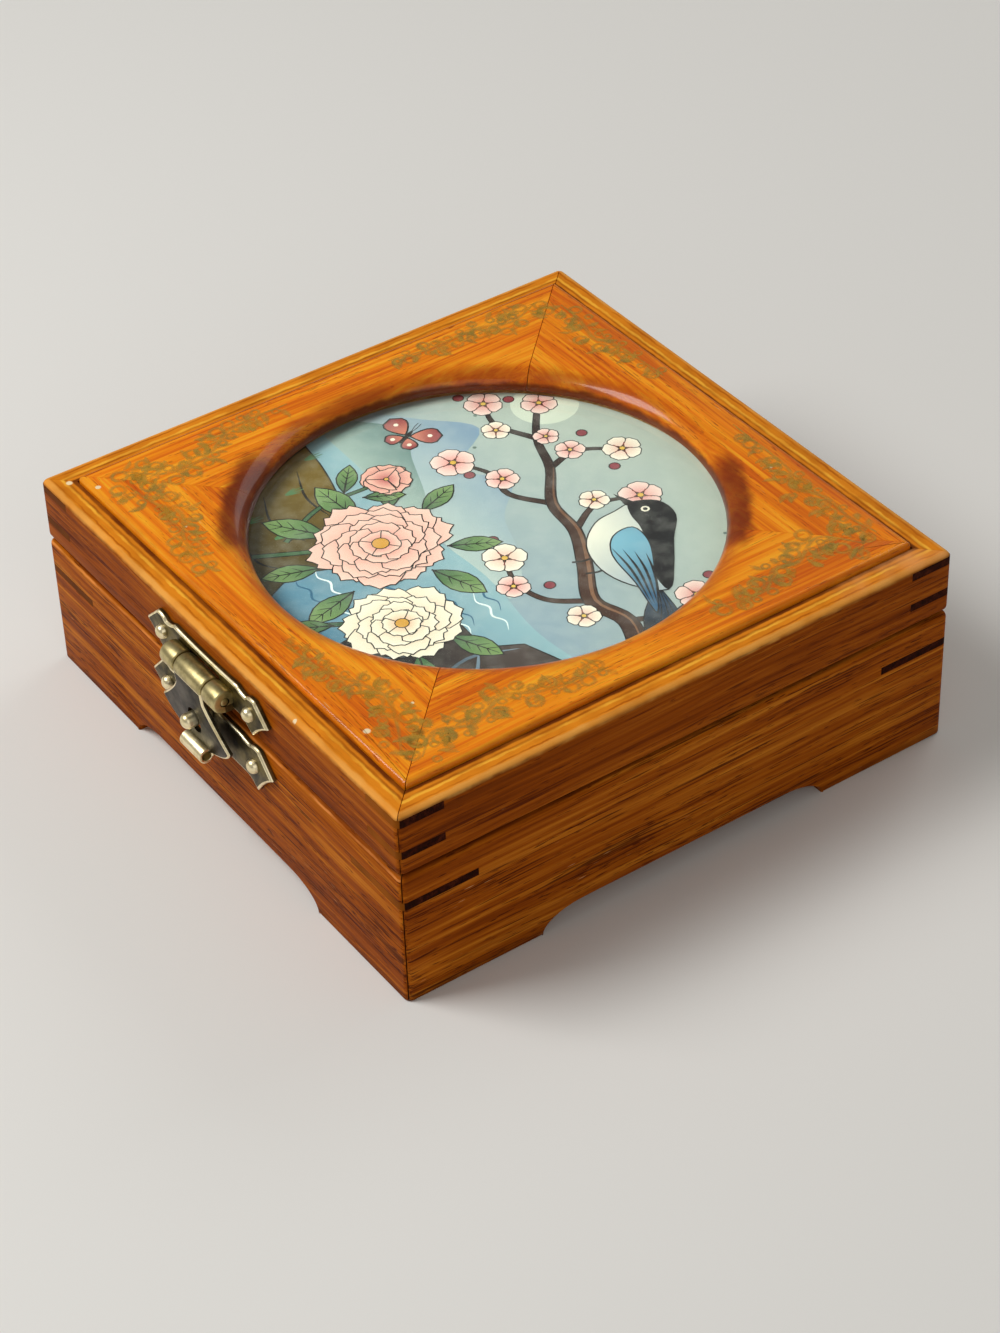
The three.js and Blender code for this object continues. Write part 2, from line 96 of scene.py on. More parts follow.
class Grain(Enum):
    """Which way the grain of a board runs, as the turn that lays it along X."""

    ALONG_X = 0.0
    ALONG_Y = QUARTER


class Measure(Enum):
    """How the place of a mark or of painted light on the wood is measured.

    Out from the middle of the round opening, square to the sides from the middle of the box,
    up from the floor, or from the middle of the box towards its back.
    """

    RADIUS = "round"
    SQUARE = "square"
    HEIGHT = "Z"
    DEPTH = "Y"


# Mesh helpers


def activate(piece: Piece) -> None:
    """Selects this piece alone and makes it the active one."""
    bpy.ops.object.select_all(action="DESELECT")
    piece.select_set(True)
    bpy.context.view_layer.objects.active = piece


@contextmanager
def editing(piece: Piece) -> Iterator[None]:
    """Keeps the piece in edit mode for a while, with all of it selected at first."""
    activate(piece)
    bpy.ops.object.mode_set(mode="EDIT")
    bpy.ops.mesh.select_all(action="SELECT")
    yield
    bpy.ops.object.mode_set(mode="OBJECT")


def pick(piece: Piece, kind: Pick, wanted: Callable) -> None:
    """Selects the vertices, edges or faces that pass a test, in edit mode.

    Args:
        piece: The mesh being edited.
        kind: What is selected.
        wanted: Takes a vertex, edge or face and says whether it is selected.
    """
    bpy.ops.mesh.select_mode(type=kind.name)
    bpy.ops.mesh.select_all(action="DESELECT")
    mesh = bmesh.from_edit_mesh(piece.data)
    for item in getattr(mesh, kind.value):
        if wanted(item):
            item.select_set(True)
    mesh.select_flush_mode()
    bmesh.update_edit_mesh(piece.data)


def bevel(piece: Piece, width: float, segments: int, wanted: Callable[[Edge], bool]) -> None:
    """Bevels the edges that pass a test, in edit mode."""
    pick(piece, Pick.EDGE, wanted)
    bpy.ops.mesh.bevel(offset=width, segments=segments, affect="EDGES")


def middle(edge: Edge) -> Vector:
    """Where the middle of an edge is."""
    return (edge.verts[0].co + edge.verts[1].co) / 2


def outer_corner(edge: Edge, sharp: float = math.radians(40), outside: float = 30) -> bool:
    """Whether an edge is a sharp one at the outside of an upright wall.

    Args:
        edge: The edge.
        sharp: The least angle between its faces.
        outside: How far out from the middle of the box the wall stands at least.

    Returns:
        Whether it is such an edge.
    """
    if len(edge.link_faces) != 2 or edge.calc_face_angle(0) < sharp:
        return False
    place = middle(edge)
    for face in edge.link_faces:
        out = face.normal.x * place.x, face.normal.y * place.y
        if abs(face.normal.z) < 0.1 and sum(out) > 0 and max(map(abs, out)) > outside:
            return True
    return False


def apply_place(piece: Piece, **settings: Any) -> None:
    """Takes the piece's place, turn and scale into its mesh, once those given are set."""
    for name, value in settings.items():
        setattr(piece, name, value)
    activate(piece)
    bpy.ops.object.transform_apply(location=True, rotation=True, scale=True)


def new_piece(name: str) -> Piece:
    """Names the primitive that was just added."""
    piece = bpy.context.object
    piece.name = name
    return piece


def add_block(name: str, low: Sequence[float], high: Sequence[float]) -> Piece:
    """Adds a block.

    Args:
        name: The piece's name.
        low: Its lowest corner.
        high: Its highest corner.

    Returns:
        The block.
    """
    low, high = Vector(low), Vector(high)
    bpy.ops.mesh.primitive_cube_add(size=1, location=(low + high) / 2)
    block = new_piece(name)
    apply_place(block, scale=high - low)
    return block


def add_slab(name: str, reach: float, low: float, high: float) -> Piece:
    """Adds a square block round the middle of the box, between two heights."""
    return add_block(name, (-reach, -reach, low), (reach, reach, high))


def add_rod(name: str, radius: float, low: float, high: float, centre: Sequence[float],
            sides: int) -> Piece:
    """Adds a rod along X.

    Args:
        name: The piece's name.
        radius: Its radius.
        low: Where it starts along X.
        high: Where it ends along X.
        centre: The place of its axis in Y and Z.
        sides: How many sides it has.

    Returns:
        The rod.
    """
    bpy.ops.mesh.primitive_cylinder_add(
        vertices=sides, radius=radius, depth=high - low, rotation=(0, QUARTER, 0),
        location=((low + high) / 2, centre[0], centre[1]))
    rod = new_piece(name)
    apply_place(rod)
    return rod


def outline_face(name: str, points: Line) -> Piece:
    """Adds a disc and moves its rim to an outline in X and Y.

    Args:
        name: The piece's name.
        points: The outline, anticlockwise.

    Returns:
        A single face.
    """
    bpy.ops.mesh.primitive_circle_add(vertices=len(points), fill_type="NGON")
    face = new_piece(name)
    for vertex, point in zip(face.data.vertices, points):
        vertex.co = (point[0], point[1], 0)
    return face


def raise_outline(name: str, points: Line, thickness: float, ease: float, rim: int = 0) -> Piece:
    """Raises an outline to a plate with eased front edges.

    Args:
        name: The piece's name.
        points: The outline in X and Y, anticlockwise.
        thickness: How far it is raised along Z.
        ease: The width of the bevel round its raised face.
        rim: The material index of the bevel.

    Returns:
        The plate.
    """
    plate = outline_face(name, points)
    with editing(plate):
        bpy.ops.mesh.extrude_region_move(TRANSFORM_OT_translate={"value": (0, 0, thickness)})
        bpy.ops.mesh.select_all(action="SELECT")
        bpy.ops.mesh.normals_make_consistent(inside=False)
        bevel(plate, ease, 3, lambda edge: all(v.co.z > thickness * 0.99 for v in edge.verts))
    for face in plate.data.polygons:
        face.material_index = rim if face.select and face.normal.z < 0.98 else 0
    return plate


def turn_profile(name: str, profile: Corners, steps: int) -> Piece:
    """Turns a profile of radius and height round Z.

    Args:
        name: The piece's name.
        profile: Points from axis to axis.
        steps: How many steps a full turn has.

    Returns:
        The turned piece.
    """
    bpy.ops.mesh.primitive_plane_add(size=1)
    piece = new_piece(name)
    points = [Vector((radius, 0, height)) for radius, height in profile]
    with editing(piece):
        bpy.ops.mesh.select_mode(type="VERT")
        bpy.ops.mesh.select_all(action="SELECT")
        bpy.ops.mesh.merge(type="CENTER")
        bpy.ops.transform.translate(value=points[0])
        for here, there in zip(points, points[1:]):
            bpy.ops.mesh.extrude_vertices_move(TRANSFORM_OT_translate={"value": there - here})
        bpy.ops.mesh.select_all(action="SELECT")
        bpy.ops.mesh.spin(steps=steps, angle=2 * math.pi, center=(0, 0, 0), axis=(0, 0, 1))
        bpy.ops.mesh.select_all(action="SELECT")
        bpy.ops.mesh.remove_doubles(threshold=0.001)
        bpy.ops.mesh.normals_make_consistent(inside=False)
    return piece


def slice_off(piece: Piece, point: Sequence[float], normal: Sequence[float]) -> None:
    """Cuts away all of the piece beyond a plane and closes the cut."""
    with editing(piece):
        bpy.ops.mesh.bisect(plane_co=point, plane_no=normal, use_fill=True, clear_outer=True)


def modify(piece: Piece, kind: str, **settings: Any) -> None:
    """Gives a piece a modifier with these settings and applies it."""
    activate(piece)
    modifier = piece.modifiers.new(kind, kind)
    for name, value in settings.items():
        setattr(modifier, name, value)
    bpy.ops.object.modifier_apply(modifier=modifier.name)


def combine(piece: Piece, other: Piece, how: str = "DIFFERENCE") -> None:
    """Cuts a piece by another, or with UNION or INTERSECT joins or intersects the two."""
    modify(piece, "BOOLEAN", operation=how, object=other, solver="MANIFOLD")
    bpy.data.objects.remove(other, do_unlink=True)


def ease_edges(piece: Piece, width: float, segments: int = 2) -> None:
    """Bevels every sharp edge of a piece."""
    modify(piece, "BEVEL", width=width, segments=segments, angle_limit=math.radians(50))


def colour_faces(piece: Piece, index: int) -> None:
    """Gives every face of a piece the same material index."""
    for face in piece.data.polygons:
        face.material_index = index


def copy_of(piece: Piece, name: str) -> Piece:
    """A copy of a piece with a mesh of its own."""
    twin = piece.copy()
    twin.data = piece.data.copy()
    twin.name = name
    bpy.context.scene.collection.objects.link(twin)
    return twin


def join(pieces: Sequence[Piece], name: str) -> Piece:
    """Joins several pieces into one mesh."""
    activate(pieces[0])
    for piece in pieces:
        piece.select_set(True)
    bpy.ops.object.join()
    pieces[0].name = name
    return pieces[0]


# Lines


def towards(angle: float, length: float = 1.0) -> Vector:
    """A step in a direction given in radians."""
    return Vector((math.cos(angle), math.sin(angle))) * length


def arc(radius: float, start: float, end: float, steps: int,
        centre: Sequence[float] = (0, 0)) -> list[Vector]:
    """Points on an arc, its angles in degrees."""
    turns = [math.radians(start + (end - start) * step / steps) for step in range(steps + 1)]
    return [Vector(centre[:2]) + towards(a, radius) for a in turns]


def dome(radius: float, foot: float, rise: float, steps: int) -> list[tuple[float, float]]:
    """The profile of a dome from its foot up, without its top point."""
    turns = [step / steps * QUARTER for step in range(steps)]
    return [(radius * math.cos(a), foot + rise * math.sin(a)) for a in turns]


def quadratic(start: Sequence[float], legs: Sequence[tuple], steps: int = 7) -> list[Vector]:
    """Points along a chain of quadratic curves.

    Args:
        start: Where the chain starts, in X and Y.
        legs: A pair of bend and end for a curve, or a single point for a straight.
        steps: How many points each curve gets.

    Returns:
        The points, the first one included.
    """
    points = [Vector(start)]
    for leg in legs:
        if len(leg) == 1:
            points.append(Vector(leg[0]))
            continue
        here, bend, end = points[-1], Vector(leg[0]), Vector(leg[1])
        for step in range(1, steps + 1):
            t = step / steps
            points.append(here * (1 - t) ** 2 + bend * 2 * t * (1 - t) + end * t * t)
    return points


def mirrored(points: Line) -> list[Vector]:
    """The other half of a symmetric outline, run back from its last point."""
    return [Vector((-point.x, point.y)) for point in reversed(points)]


def smooth_line(corners: Corners, steps: int = 5, closed: bool = False) -> list[Vector]:
    """A smooth line through a few corners.

    Args:
        corners: The corners in X and Y.
        steps: How many steps it takes from one corner to the next.
        closed: Whether it runs round to its start.

    Returns:
        The points of the line.
    """
    knots = [Vector(corner) for corner in corners]
    if closed:
        knots = [knots[-1], *knots, knots[0], knots[1]]
    else:
        knots = [knots[0] * 2 - knots[1], *knots, knots[-1] * 2 - knots[-2]]
    points = []
    for a, b, c, d in zip(knots, knots[1:], knots[2:], knots[3:]):
        for step in range(steps):
            t = step / steps
            points.append((b * 2 + (c - a) * t + (a * 2 - b * 5 + c * 4 - d) * t ** 2
                           + (b * 3 - a - c * 3 + d) * t ** 3) / 2)
    return points if closed else points + [knots[-2]]


def curl(start: Vector, heading: float, length: float, bend: float, tighten: float,
         steps: int) -> list[Vector]:
    """A line that curls up.

    Args:
        start: Where it starts.
        heading: Its first direction, in radians.
        length: Its length.
        bend: How fast it turns at first, in radians a millimetre.
        tighten: How much faster it turns with each millimetre.
        steps: How many steps it has.

    Returns:
        The points of the line.
    """
    points = [start.copy()]
    stride = length / steps
    for step in range(steps):
        heading += (bend + tighten * stride * step) * stride
        points.append(points[-1] + towards(heading, stride))
    return points


def swell(count: int, widest: float, ends: float) -> list[float]:
    """Widths of a stroke that is thin at both ends, its ends a share of its widest."""
    return [widest * (ends + (1 - ends) * math.sin(math.pi * step / (count - 1)))
            for step in range(count)]


# Material helpers


def linear(code: str) -> tuple[float, float, float, float]:
    """Turns an sRGB hex colour to linear RGBA."""
    channels = [int(code[at:at + 2], 16) / 255 for at in (1, 3, 5)]
    bent = [c / 12.92 if c <= 0.04045 else ((c + 0.055) / 1.055) ** 2.4 for c in channels]
    return (*bent, 1.0)


def add_node(tree: Tree, kind: str, *inputs: Any, out: int | str = 0,
             stops: Sequence[tuple[float, str]] = (), **settings: Any) -> Socket | None:
    """Adds a node with its settings and links.

    Args:
        tree: The material's or the world's node tree.
        kind: The node's type without its ShaderNode prefix.
        inputs: What goes into its first sockets in turn: a value, the output of another
            node, or None to leave one as it is.
        out: The output that is given back.
        stops: A colour ramp's places and hex colours.
        settings: The same for sockets by name, with a capital and _ for a space, and values
            for the node's own properties, with a small letter.

    Returns:
        The output, where the node has one.
    """
    node = tree.nodes.new("ShaderNode" + kind)
    sockets = dict(enumerate(inputs))
    for key, value in settings.items():
        if key[0].isupper():
            sockets[key.replace("_", " ")] = value
        else:
            setattr(node, key, value)
    for key, value in sockets.items():
        if isinstance(value, Socket):
            tree.links.new(value, node.inputs[key])
        elif value is not None:
            node.inputs[key].default_value = value
    if stops:
        steps = node.color_ramp.elements
        steps.remove(steps[1])
        steps[0].position = stops[0][0]
        steps[0].color = linear(stops[0][1])
        for place, code in stops[1:]:
            steps.new(place).color = linear(code)
    return node.outputs[out] if node.outputs else None


def new_material(name: str) -> tuple[Material, Adder]:
    """Makes a material without nodes, and gives it back with what adds a node to it."""
    material = bpy.data.materials.new(name)
    material.use_nodes = True
    material.node_tree.nodes.clear()
    return material, partial(add_node, material.node_tree)


def stretched_noise(node: Adder, place: Socket, length: float, width: float,
                    detail: float = 2.0) -> Socket:
    """Noise from 0 to 1 whose spots are drawn out along X.

    Args:
        node: Adds a node to the material.
        place: Where the surface is, in millimetres.
        length: The size of a spot along X.
        width: Its size along Y and Z.
        detail: The noise's detail.

    Returns:
        The noise.
    """
    scaled = node("Mapping", place, Scale=(1 / length, 1 / width, 1 / width))
    return node("TexNoise", scaled, Scale=1.0, Detail=detail)


def object_place(node: Adder, shift: Sequence[float] = (0, 0, 0), turn: float = 0.0) -> Socket:
    """Where the surface is, in millimetres, shifted and turned round Z."""
    place = node("TexCoord", out="Object")
    return node("Mapping", place, shift, (0, 0, turn), (1 / MM,) * 3)


def lay_colours(node: Adder, colour: Any, layers: Sequence[tuple[str, Socket]]) -> Socket:
    """Lays hex colours over a colour or an output, each by its share of every spot."""
    for code, share in layers:
        colour = node("Mix", share, *BEFORE_COLOURS, colour, linear(code),
                      out=MIXED_COLOUR, data_type="RGBA")
    return colour


# Finishes


@dataclass(frozen=True)
class StainAndPaintedLight:
    """A mark in the colour of the wood: real discolouring or a fleck, or painted light, such as painted shade
    along a step or a seam and a painted highlight along an edge.

    Its middle and reach are in millimetres, and core is the share of its reach at full
    strength. Centre moves the spot that it is measured from. Between gives the lowest and
    highest place above the floor where it shows. Towards and spread, in degrees, keep it to
    one side of the box, and patchy says how far it comes and goes.
    """

    measure: Measure
    middle: float
    reach: float
    code: str
    strength: float = 0.8
    core: float = 0.3
    ragged: float = 0.8
    between: tuple[float, float] | None = None
    centre: tuple[float, float] = (0.0, 0.0)
    towards: float | None = None
    spread: float = 40.0
    patchy: float = 0.55

    def distance(self, node: Adder, place: Socket) -> Socket:
        """How far each spot is from what the mark is measured from."""
        if self.measure in (Measure.HEIGHT, Measure.DEPTH):
            return node("SeparateXYZ", place, out=self.measure.value)
        if self.measure is Measure.RADIUS:
            flat = node("VectorMath", place, (1, 1, 0), (-Vector(self.centre)).to_3d(),
                        operation="MULTIPLY_ADD")
            return node("VectorMath", flat, operation="LENGTH", out="Value")
        size = node("VectorMath", place, operation="ABSOLUTE")
        sides = [node("SeparateXYZ", size, out=axis) for axis in "XY"]
        return node("Math", *sides, operation="MAXIMUM")

    def share(self, node: Adder, place: Socket, seed: int) -> Socket:
        """How much of the mark lies on each spot, from 0 to 1.

        Args:
            node: Adds a node to the material.
            place: Where the surface is, in millimetres from the middle of the box.
            seed: Shifts the mark's ragged edge and patches.

        Returns:
            The share.
        """
        moved = node("Mapping", place, (seed * 3.1, seed * 7.7, 0))
        rough = node("TexNoise", moved, Scale=0.35, Detail=3.0)
        ragged = node("Math", rough, 2 * self.ragged, self.distance(node, place),
                      operation="MULTIPLY_ADD")
        off = node("Math", ragged, self.middle + self.ragged, operation="SUBTRACT")
        away = node("Math", off, operation="ABSOLUTE")
        shares = [node("MapRange", away, self.reach, self.reach * self.core,
                       To_Max=self.strength, interpolation_type="SMOOTHSTEP")]
        if self.patchy:
            patches = node("TexNoise", moved, Scale=0.14, Detail=2.0)
            shares.append(node("MapRange", patches, 0.35, 0.6, 1 - self.patchy))
        if self.between:
            height = node("SeparateXYZ", place, out="Z")
            for limit, fade in zip(self.between, (0.15, -0.15)):
                shares.append(node("MapRange", height, limit - fade, limit + fade))
        if self.towards is not None:
            turn, spread = math.radians(self.towards), math.radians(self.spread)
            flat = node("VectorMath", place, (1, 1, 0), operation="MULTIPLY")
            way = node("VectorMath", flat, operation="NORMALIZE")
            facing = node("VectorMath", way, towards(turn).to_3d(),
                          operation="DOT_PRODUCT", out="Value")
            shares.append(node("MapRange", facing, math.cos(spread),
                               math.cos(spread * 0.6), interpolation_type="SMOOTHSTEP"))
        share = shares[0]
        for other in shares[1:]:
            share = node("Math", share, other, operation="MULTIPLY")
        return share


@dataclass(frozen=True)
class Wood:
    """Open-pored hardwood, sawn, sanded and varnished.

    It gives the eye faint bands of deeper and paler tone along the grain, fine fibre, long
    and short dark pores, and the soft gloss of a worn varnish. Lengths are in millimetres,
    and a pore starts where its noise passes its level.
    """

    deep: str
    mid: str
    pale: str
    pore: str
    band: float = 7.0
    band_length: float = 120.0
    streak: float = 1.3
    fibre: float = 0.45
    pore_length: float = 3.2
    pore_width: float = 0.26
    pore_level: float = 0.62
    slit_length: float = 13.0
    slit_width: float = 0.4
    slit_level: float = 0.64
    pore_strength: float = 0.7
    scratch: str = "#efc088"
    scratch_level: float = 0.79
    wander: float = 0.9
    roughness: float = 0.4
    gloss: float = 0.02
    coat: float = 0.0

    def pores(self, node: Adder, line: Socket, length: float, width: float, level: float) -> Socket:
        """Dark dashes along the grain, as their share of each spot.

        Args:
            node: Adds a node to the material.
            line: Where the surface is, along and across the grain.
            length: How long a dash is.
            width: How wide it is.
            level: The noise level above which there is a dash.

        Returns:
            The share, from 0 to the pores' strength.
        """
        spots = stretched_noise(node, line, length, width, 1.0)
        crowd = stretched_noise(node, line, 34, 6, 1.0)
        edge = node("Math", crowd, -0.3, level + 0.15, operation="MULTIPLY_ADD")
        depth = node("Math", spots, edge, operation="SUBTRACT")
        return node("MapRange", depth, From_Max=0.09, To_Max=self.pore_strength)

    def material(self, name: str, grain: Grain, seed: int, layout: Layout,
                 marks_and_light: Sequence[StainAndPaintedLight] = ()) -> Material:
        """Makes the finish for one board.

        Args:
            name: The material's name.
            grain: Which way the board's grain runs.
            seed: Where in the tree the board was cut.
            layout: The box's sizes, for the stains' places.
            marks_and_light: The real marks, painted shade and painted highlights on this board.

        Returns:
            The material.
        """
        material, node = new_material(name)
        place = object_place(node, (seed * 131.7, seed * 57.3, seed * 23.9), grain.value)
        slow = stretched_noise(node, place, 45, 16, 1.0)
        drift = node("Math", slow, 2 * self.wander, -self.wander, operation="MULTIPLY_ADD")
        shift = node("CombineXYZ", None, drift, drift)
        line = node("VectorMath", place, shift, operation="ADD")
        broad = stretched_noise(node, line, self.band_length, self.band)
        streak = stretched_noise(node, line, 50, self.streak)
        fibre = stretched_noise(node, line, 16, self.fibre)
        mixed = node("Math", streak, broad, operation="ADD")
        mean = node("Math", mixed, 0.5, operation="MULTIPLY")
        tone = node("ValToRGB", mean, stops=[(0.4, self.deep), (0.5, self.mid), (0.6, self.pale)])
        fine = node("Mix", 0.8, *BEFORE_COLOURS, tone, fibre, out=MIXED_COLOUR,
                    data_type="RGBA", blend_type="SOFT_LIGHT")
        dots = self.pores(node, line, self.pore_length, self.pore_width, self.pore_level)
        slits = self.pores(node, line, self.slit_length, self.slit_width, self.slit_level)
        pore = node("Math", dots, slits, operation="MAXIMUM")
        scratches = self.pores(node, place, 5.0, 0.3, self.scratch_level)
        centred = object_place(node, -layout.middle)
        layers = [(self.pore, pore), (self.scratch, scratches)]
        # Real marks, painted shade and painted highlights are laid over the wood's colour.
        for number, mark in enumerate(marks_and_light):
            layers.append((mark.code, mark.share(node, centred, seed + 5 * number)))
        level = node("Math", 1.0, pore, operation="SUBTRACT")
        height = node("Math", fibre, 0.35, level, operation="MULTIPLY_ADD")
        node("OutputMaterial", node("BsdfPrincipled", Base_Color=lay_colours(node, fine, layers),
                                    Roughness=node("MapRange", streak, To_Min=self.roughness - 0.07,
                                                   To_Max=self.roughness + 0.1),
                                    Normal=node("Bump", Strength=0.35, Distance=0.06 * MM, Height=height),
                                    Coat_Weight=self.coat, Coat_Roughness=0.12, Specular_IOR_Level=self.gloss))
        return material


@dataclass(frozen=True)
class Metal:
    """Stamped brass, once lacquered and now aged.

    It gives the eye a warm metal with dull brown-green patches, and a fine scratched grain.
    A patch starts where its noise passes the first level and is full at the second.
    """

    clean: str
    tarnish: str
    levels: tuple[float, float] = (0.4, 0.66)
    roughness: float = 0.36
    patch: float = 3.2

    def material(self, name: str) -> Material:
        """Makes the finish, the same metal wherever it is used."""
        material, node = new_material(name)
        place = object_place(node)
        cloud = node("TexNoise", place, Scale=1 / self.patch, Detail=4.0, Roughness=0.6)
        grain = stretched_noise(node, place, 2.5, 0.18)
        share = node("MapRange", cloud, *self.levels)
        both = node("Math", grain, 0.4, cloud, operation="MULTIPLY_ADD")
        node("OutputMaterial", node("BsdfPrincipled", Metallic=1.0,
                                    Base_Color=lay_colours(node, linear(self.clean), [(self.tarnish, share)]),
                                    Roughness=node("MapRange", cloud, To_Min=self.roughness - 0.08,
                                                   To_Max=self.roughness + 0.22),
                                    Normal=node("Bump", Strength=0.3, Distance=0.03 * MM, Height=both)))
        return material


@dataclass(frozen=True)
class Cloth:
    """Cotton velvet glued over card.

    It gives the eye a deep soft colour with a pale bloom where it turns from the light. Its
    threads, 0.25 mm apart on the real one, are drawn at twice that so that they show.
    """

    deep: str
    pale: str
    thread: float = 0.5

    def material(self, name: str) -> Material:
        """Makes the finish."""
        material, node = new_material(name)
        place = object_place(node)
        threads = [node("TexWave", place, Scale=0.31 / self.thread, Distortion=0.6,
                        bands_direction=way, out="Fac") for way in "XY"]
        weave = node("Math", *threads, operation="MULTIPLY")
        nap = node("TexNoise", place, Scale=0.12, Detail=4.0)
        both = node("Math", weave, 0.25, nap, operation="MULTIPLY_ADD")
        node("OutputMaterial", node("BsdfPrincipled", Roughness=0.92, Specular_IOR_Level=0.15,
                                    Base_Color=node("ValToRGB", both, stops=[
                                        (0.2, self.deep), (0.95, self.pale)]),
                                    Normal=node("Bump", Strength=0.5, Distance=0.15 * MM, Height=weave),
                                    Sheen_Weight=0.5, Sheen_Roughness=0.4, Sheen_Tint=linear("#d98a84")))
        return material


def glass_material() -> Material:
    """Clear picture glass, drawn flat and polished: it shows what is behind it and a faint gloss.

    Rays from lamps pass it straight, so that the picture behind it is lit.
    """
    material, node = new_material("drawn_picture_glass")
    glass = node("BsdfPrincipled", Base_Color=linear("#f4faf8"), Roughness=0.03,
                 Transmission_Weight=1.0, IOR=1.46)
    shadow = node("LightPath", out="Is Shadow Ray")
    clear = node("BsdfTransparent")
    node("OutputMaterial", node("MixShader", shadow, glass, clear))
    return material


def print_material() -> Material:
    """A colour print on glazed card: matt inks, slightly mottled, in the mesh's paint colours."""
    material, node = new_material("printed_card")
    ink = node("VertexColor", layer_name="paint")
    mottle = node("TexNoise", object_place(node), Scale=0.3, Detail=4.0)
    share = node("MapRange", mottle, 0.42, 0.75, To_Max=0.09)
    node("OutputMaterial", node(
        "BsdfPrincipled", Base_Color=lay_colours(node, ink, [("#f6f2e2", share)]),
        Roughness=0.55, Specular_IOR_Level=0.3))
    return material


def stencil_material() -> Material:
    """Thin olive-gold stencil paint, rubbed until the wood shows through it."""
    material, node = new_material("worn_stencil_paint")
    place = object_place(node)
    soft = node("VertexColor", layer_name="paint")
    thick = node("MapRange", node("SeparateColor", soft), 0.02, 0.85,
                 interpolation_type="SMOOTHSTEP")
    wear = node("TexNoise", place, Scale=0.8, Detail=3.0)
    left = node("MapRange", wear, 0.3, 0.62, 0.25, 0.62)
    tone = node("TexNoise", place, Scale=0.3, Detail=2.0)
    node("OutputMaterial", node("BsdfPrincipled", Roughness=0.45, Specular_IOR_Level=0.3,
                                Base_Color=node("ValToRGB", tone, stops=[
                                    (0.35, "#cb942a"), (0.5, "#cba03a"), (0.65, "#b3923c")]),
                                Alpha=node("Math", thick, left, operation="MULTIPLY")))
    return material


# The top rails are the same wood as the boards; their much paler, brighter tones are painted top light, the
# top lit more than the sides.
TOP_WOOD_WITH_PAINTED_LIGHT = Wood(deep="#d96806", mid="#f3870a", pale="#ffa41e", pore="#8a340a", band=5,
                band_length=70, streak=0.9, fibre=0.4, pore_length=2.4, pore_level=0.65,
                slit_length=7, slit_width=0.32, slit_level=0.67, pore_strength=0.65,
                roughness=0.34, gloss=0.08, coat=0.45, scratch_level=0.78)
LID_WOOD = Wood(deep="#743204", mid="#8e4205", pale="#a35510", pore="#471506", band=3,
                slit_length=12, slit_level=0.62, pore_level=0.64, scratch_level=0.83)
SIDE_WOOD = Wood(deep="#883e06", mid="#a2510a", pale="#bd6d1a", pore="#3f1104", band=3,
                 streak=1.1, slit_length=16, slit_width=0.42, slit_level=0.6,
                 pore_strength=0.8)
SPLINE_WOOD = Wood(deep="#260c04", mid="#330f05", pale="#431a0b", pore="#140604", band=2.0,
                   roughness=0.5, scratch_level=2.0)
BIRCH_PLY = Wood(deep="#a47d4d", mid="#b8915c", pale="#c7a26b", pore="#7d5a33", band=12,
                 pore_strength=0.3, roughness=0.62)
# The dark faces of these brasses are partly tarnish and partly painted dark reflection; the pale brass is
# partly wear and partly painted highlight.
PATINA_AND_PAINTED_REFLECTION_BRASS = Metal(clean="#776a42", tarnish="#322c1c", roughness=0.34)
RUBBED_AND_PAINTED_HIGHLIGHT_BRASS = Metal(clean="#fff0c6", tarnish="#c4ae70", levels=(0.5, 0.8), roughness=0.27)
WORN_BRASS = Metal(clean="#cdbd88", tarnish="#75683c", levels=(0.42, 0.75), roughness=0.3)
DARK_PATINA_AND_PAINTED_REFLECTION_BRASS = Metal(clean="#463f2e", tarnish="#1f1b15", roughness=0.34)
VELVET = Cloth(deep="#4a0c12", pale="#8a1f26")


# The box


@dataclass(frozen=True)
class Layout:
    """Sizes and heights of the wooden box in millimetres, read from the frame."""

    middle: Vector
    half: float
    wall: float
    base_top: float
    lid_bottom: float
    ledge_top: float
    rail_bottom: float
    panel_top: float
    panel_half: float

    @classmethod
    def measure(cls) -> Layout:
        """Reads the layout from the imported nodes."""
        front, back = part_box("base_board_front"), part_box("base_board_back")
        lid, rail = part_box("lid_board_front"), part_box("top_rail_front")
        centre = Vector((0, (front[0].y + back[1].y) / 2, 0)) / MM
        return cls(
            middle=centre,
            half=centre.y - front[0].y / MM,
            wall=(front[1].y - front[0].y) / MM,
            base_top=front[1].z / MM,
            lid_bottom=lid[0].z / MM,
            ledge_top=lid[1].z / MM,
            rail_bottom=rail[0].z / MM,
            panel_top=rail[1].z / MM,
            panel_half=centre.y - rail[0].y / MM)

    def box(self, node: str) -> tuple[Vector, Vector]:
        """A node's lowest and highest corner, in millimetres from the middle of the box."""
        low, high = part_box(node)
        return low / MM - self.middle, high / MM - self.middle


@dataclass
class SubAssembly:
    """A group of pieces that is made and finished together."""

    layout: Layout
    body: str

    def deliver(self, piece: Piece, slot: str, nodes: Sequence[str],
                materials: Sequence[Material], turn: int = 0, smooth: float = 32,
                body: str | None = None) -> None:
        """Brings a finished piece to its place and lets it ride.

        Args:
            piece: The piece, in millimetres about the middle of the box.
            slot: The record's material slot; not used.
            nodes: The nodes that it stands for.
            materials: Its finishes, by material index.
            turn: Quarter turns round the middle of the box.
            smooth: The angle in degrees below which its edges are smooth.
            body: The body it rides on, where that isn't the sub-assembly's own.
        """
        apply_place(piece, rotation_euler=(0, 0, turn * QUARTER), scale=(MM,) * 3,
                    location=self.layout.middle * MM)
        bpy.ops.object.shade_smooth_by_angle(angle=math.radians(smooth))
        faces = piece.data.polygons
        kinds = [face.material_index for face in faces]
        piece.data.materials.clear()
        for material in materials:
            piece.data.materials.append(material)
        faces.foreach_set("material_index", kinds)
        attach(piece, body or self.body)
        if nodes:
            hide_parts(*nodes)
        LOG.info("%s: %d faces on %s", piece.name, len(faces), body or self.body)


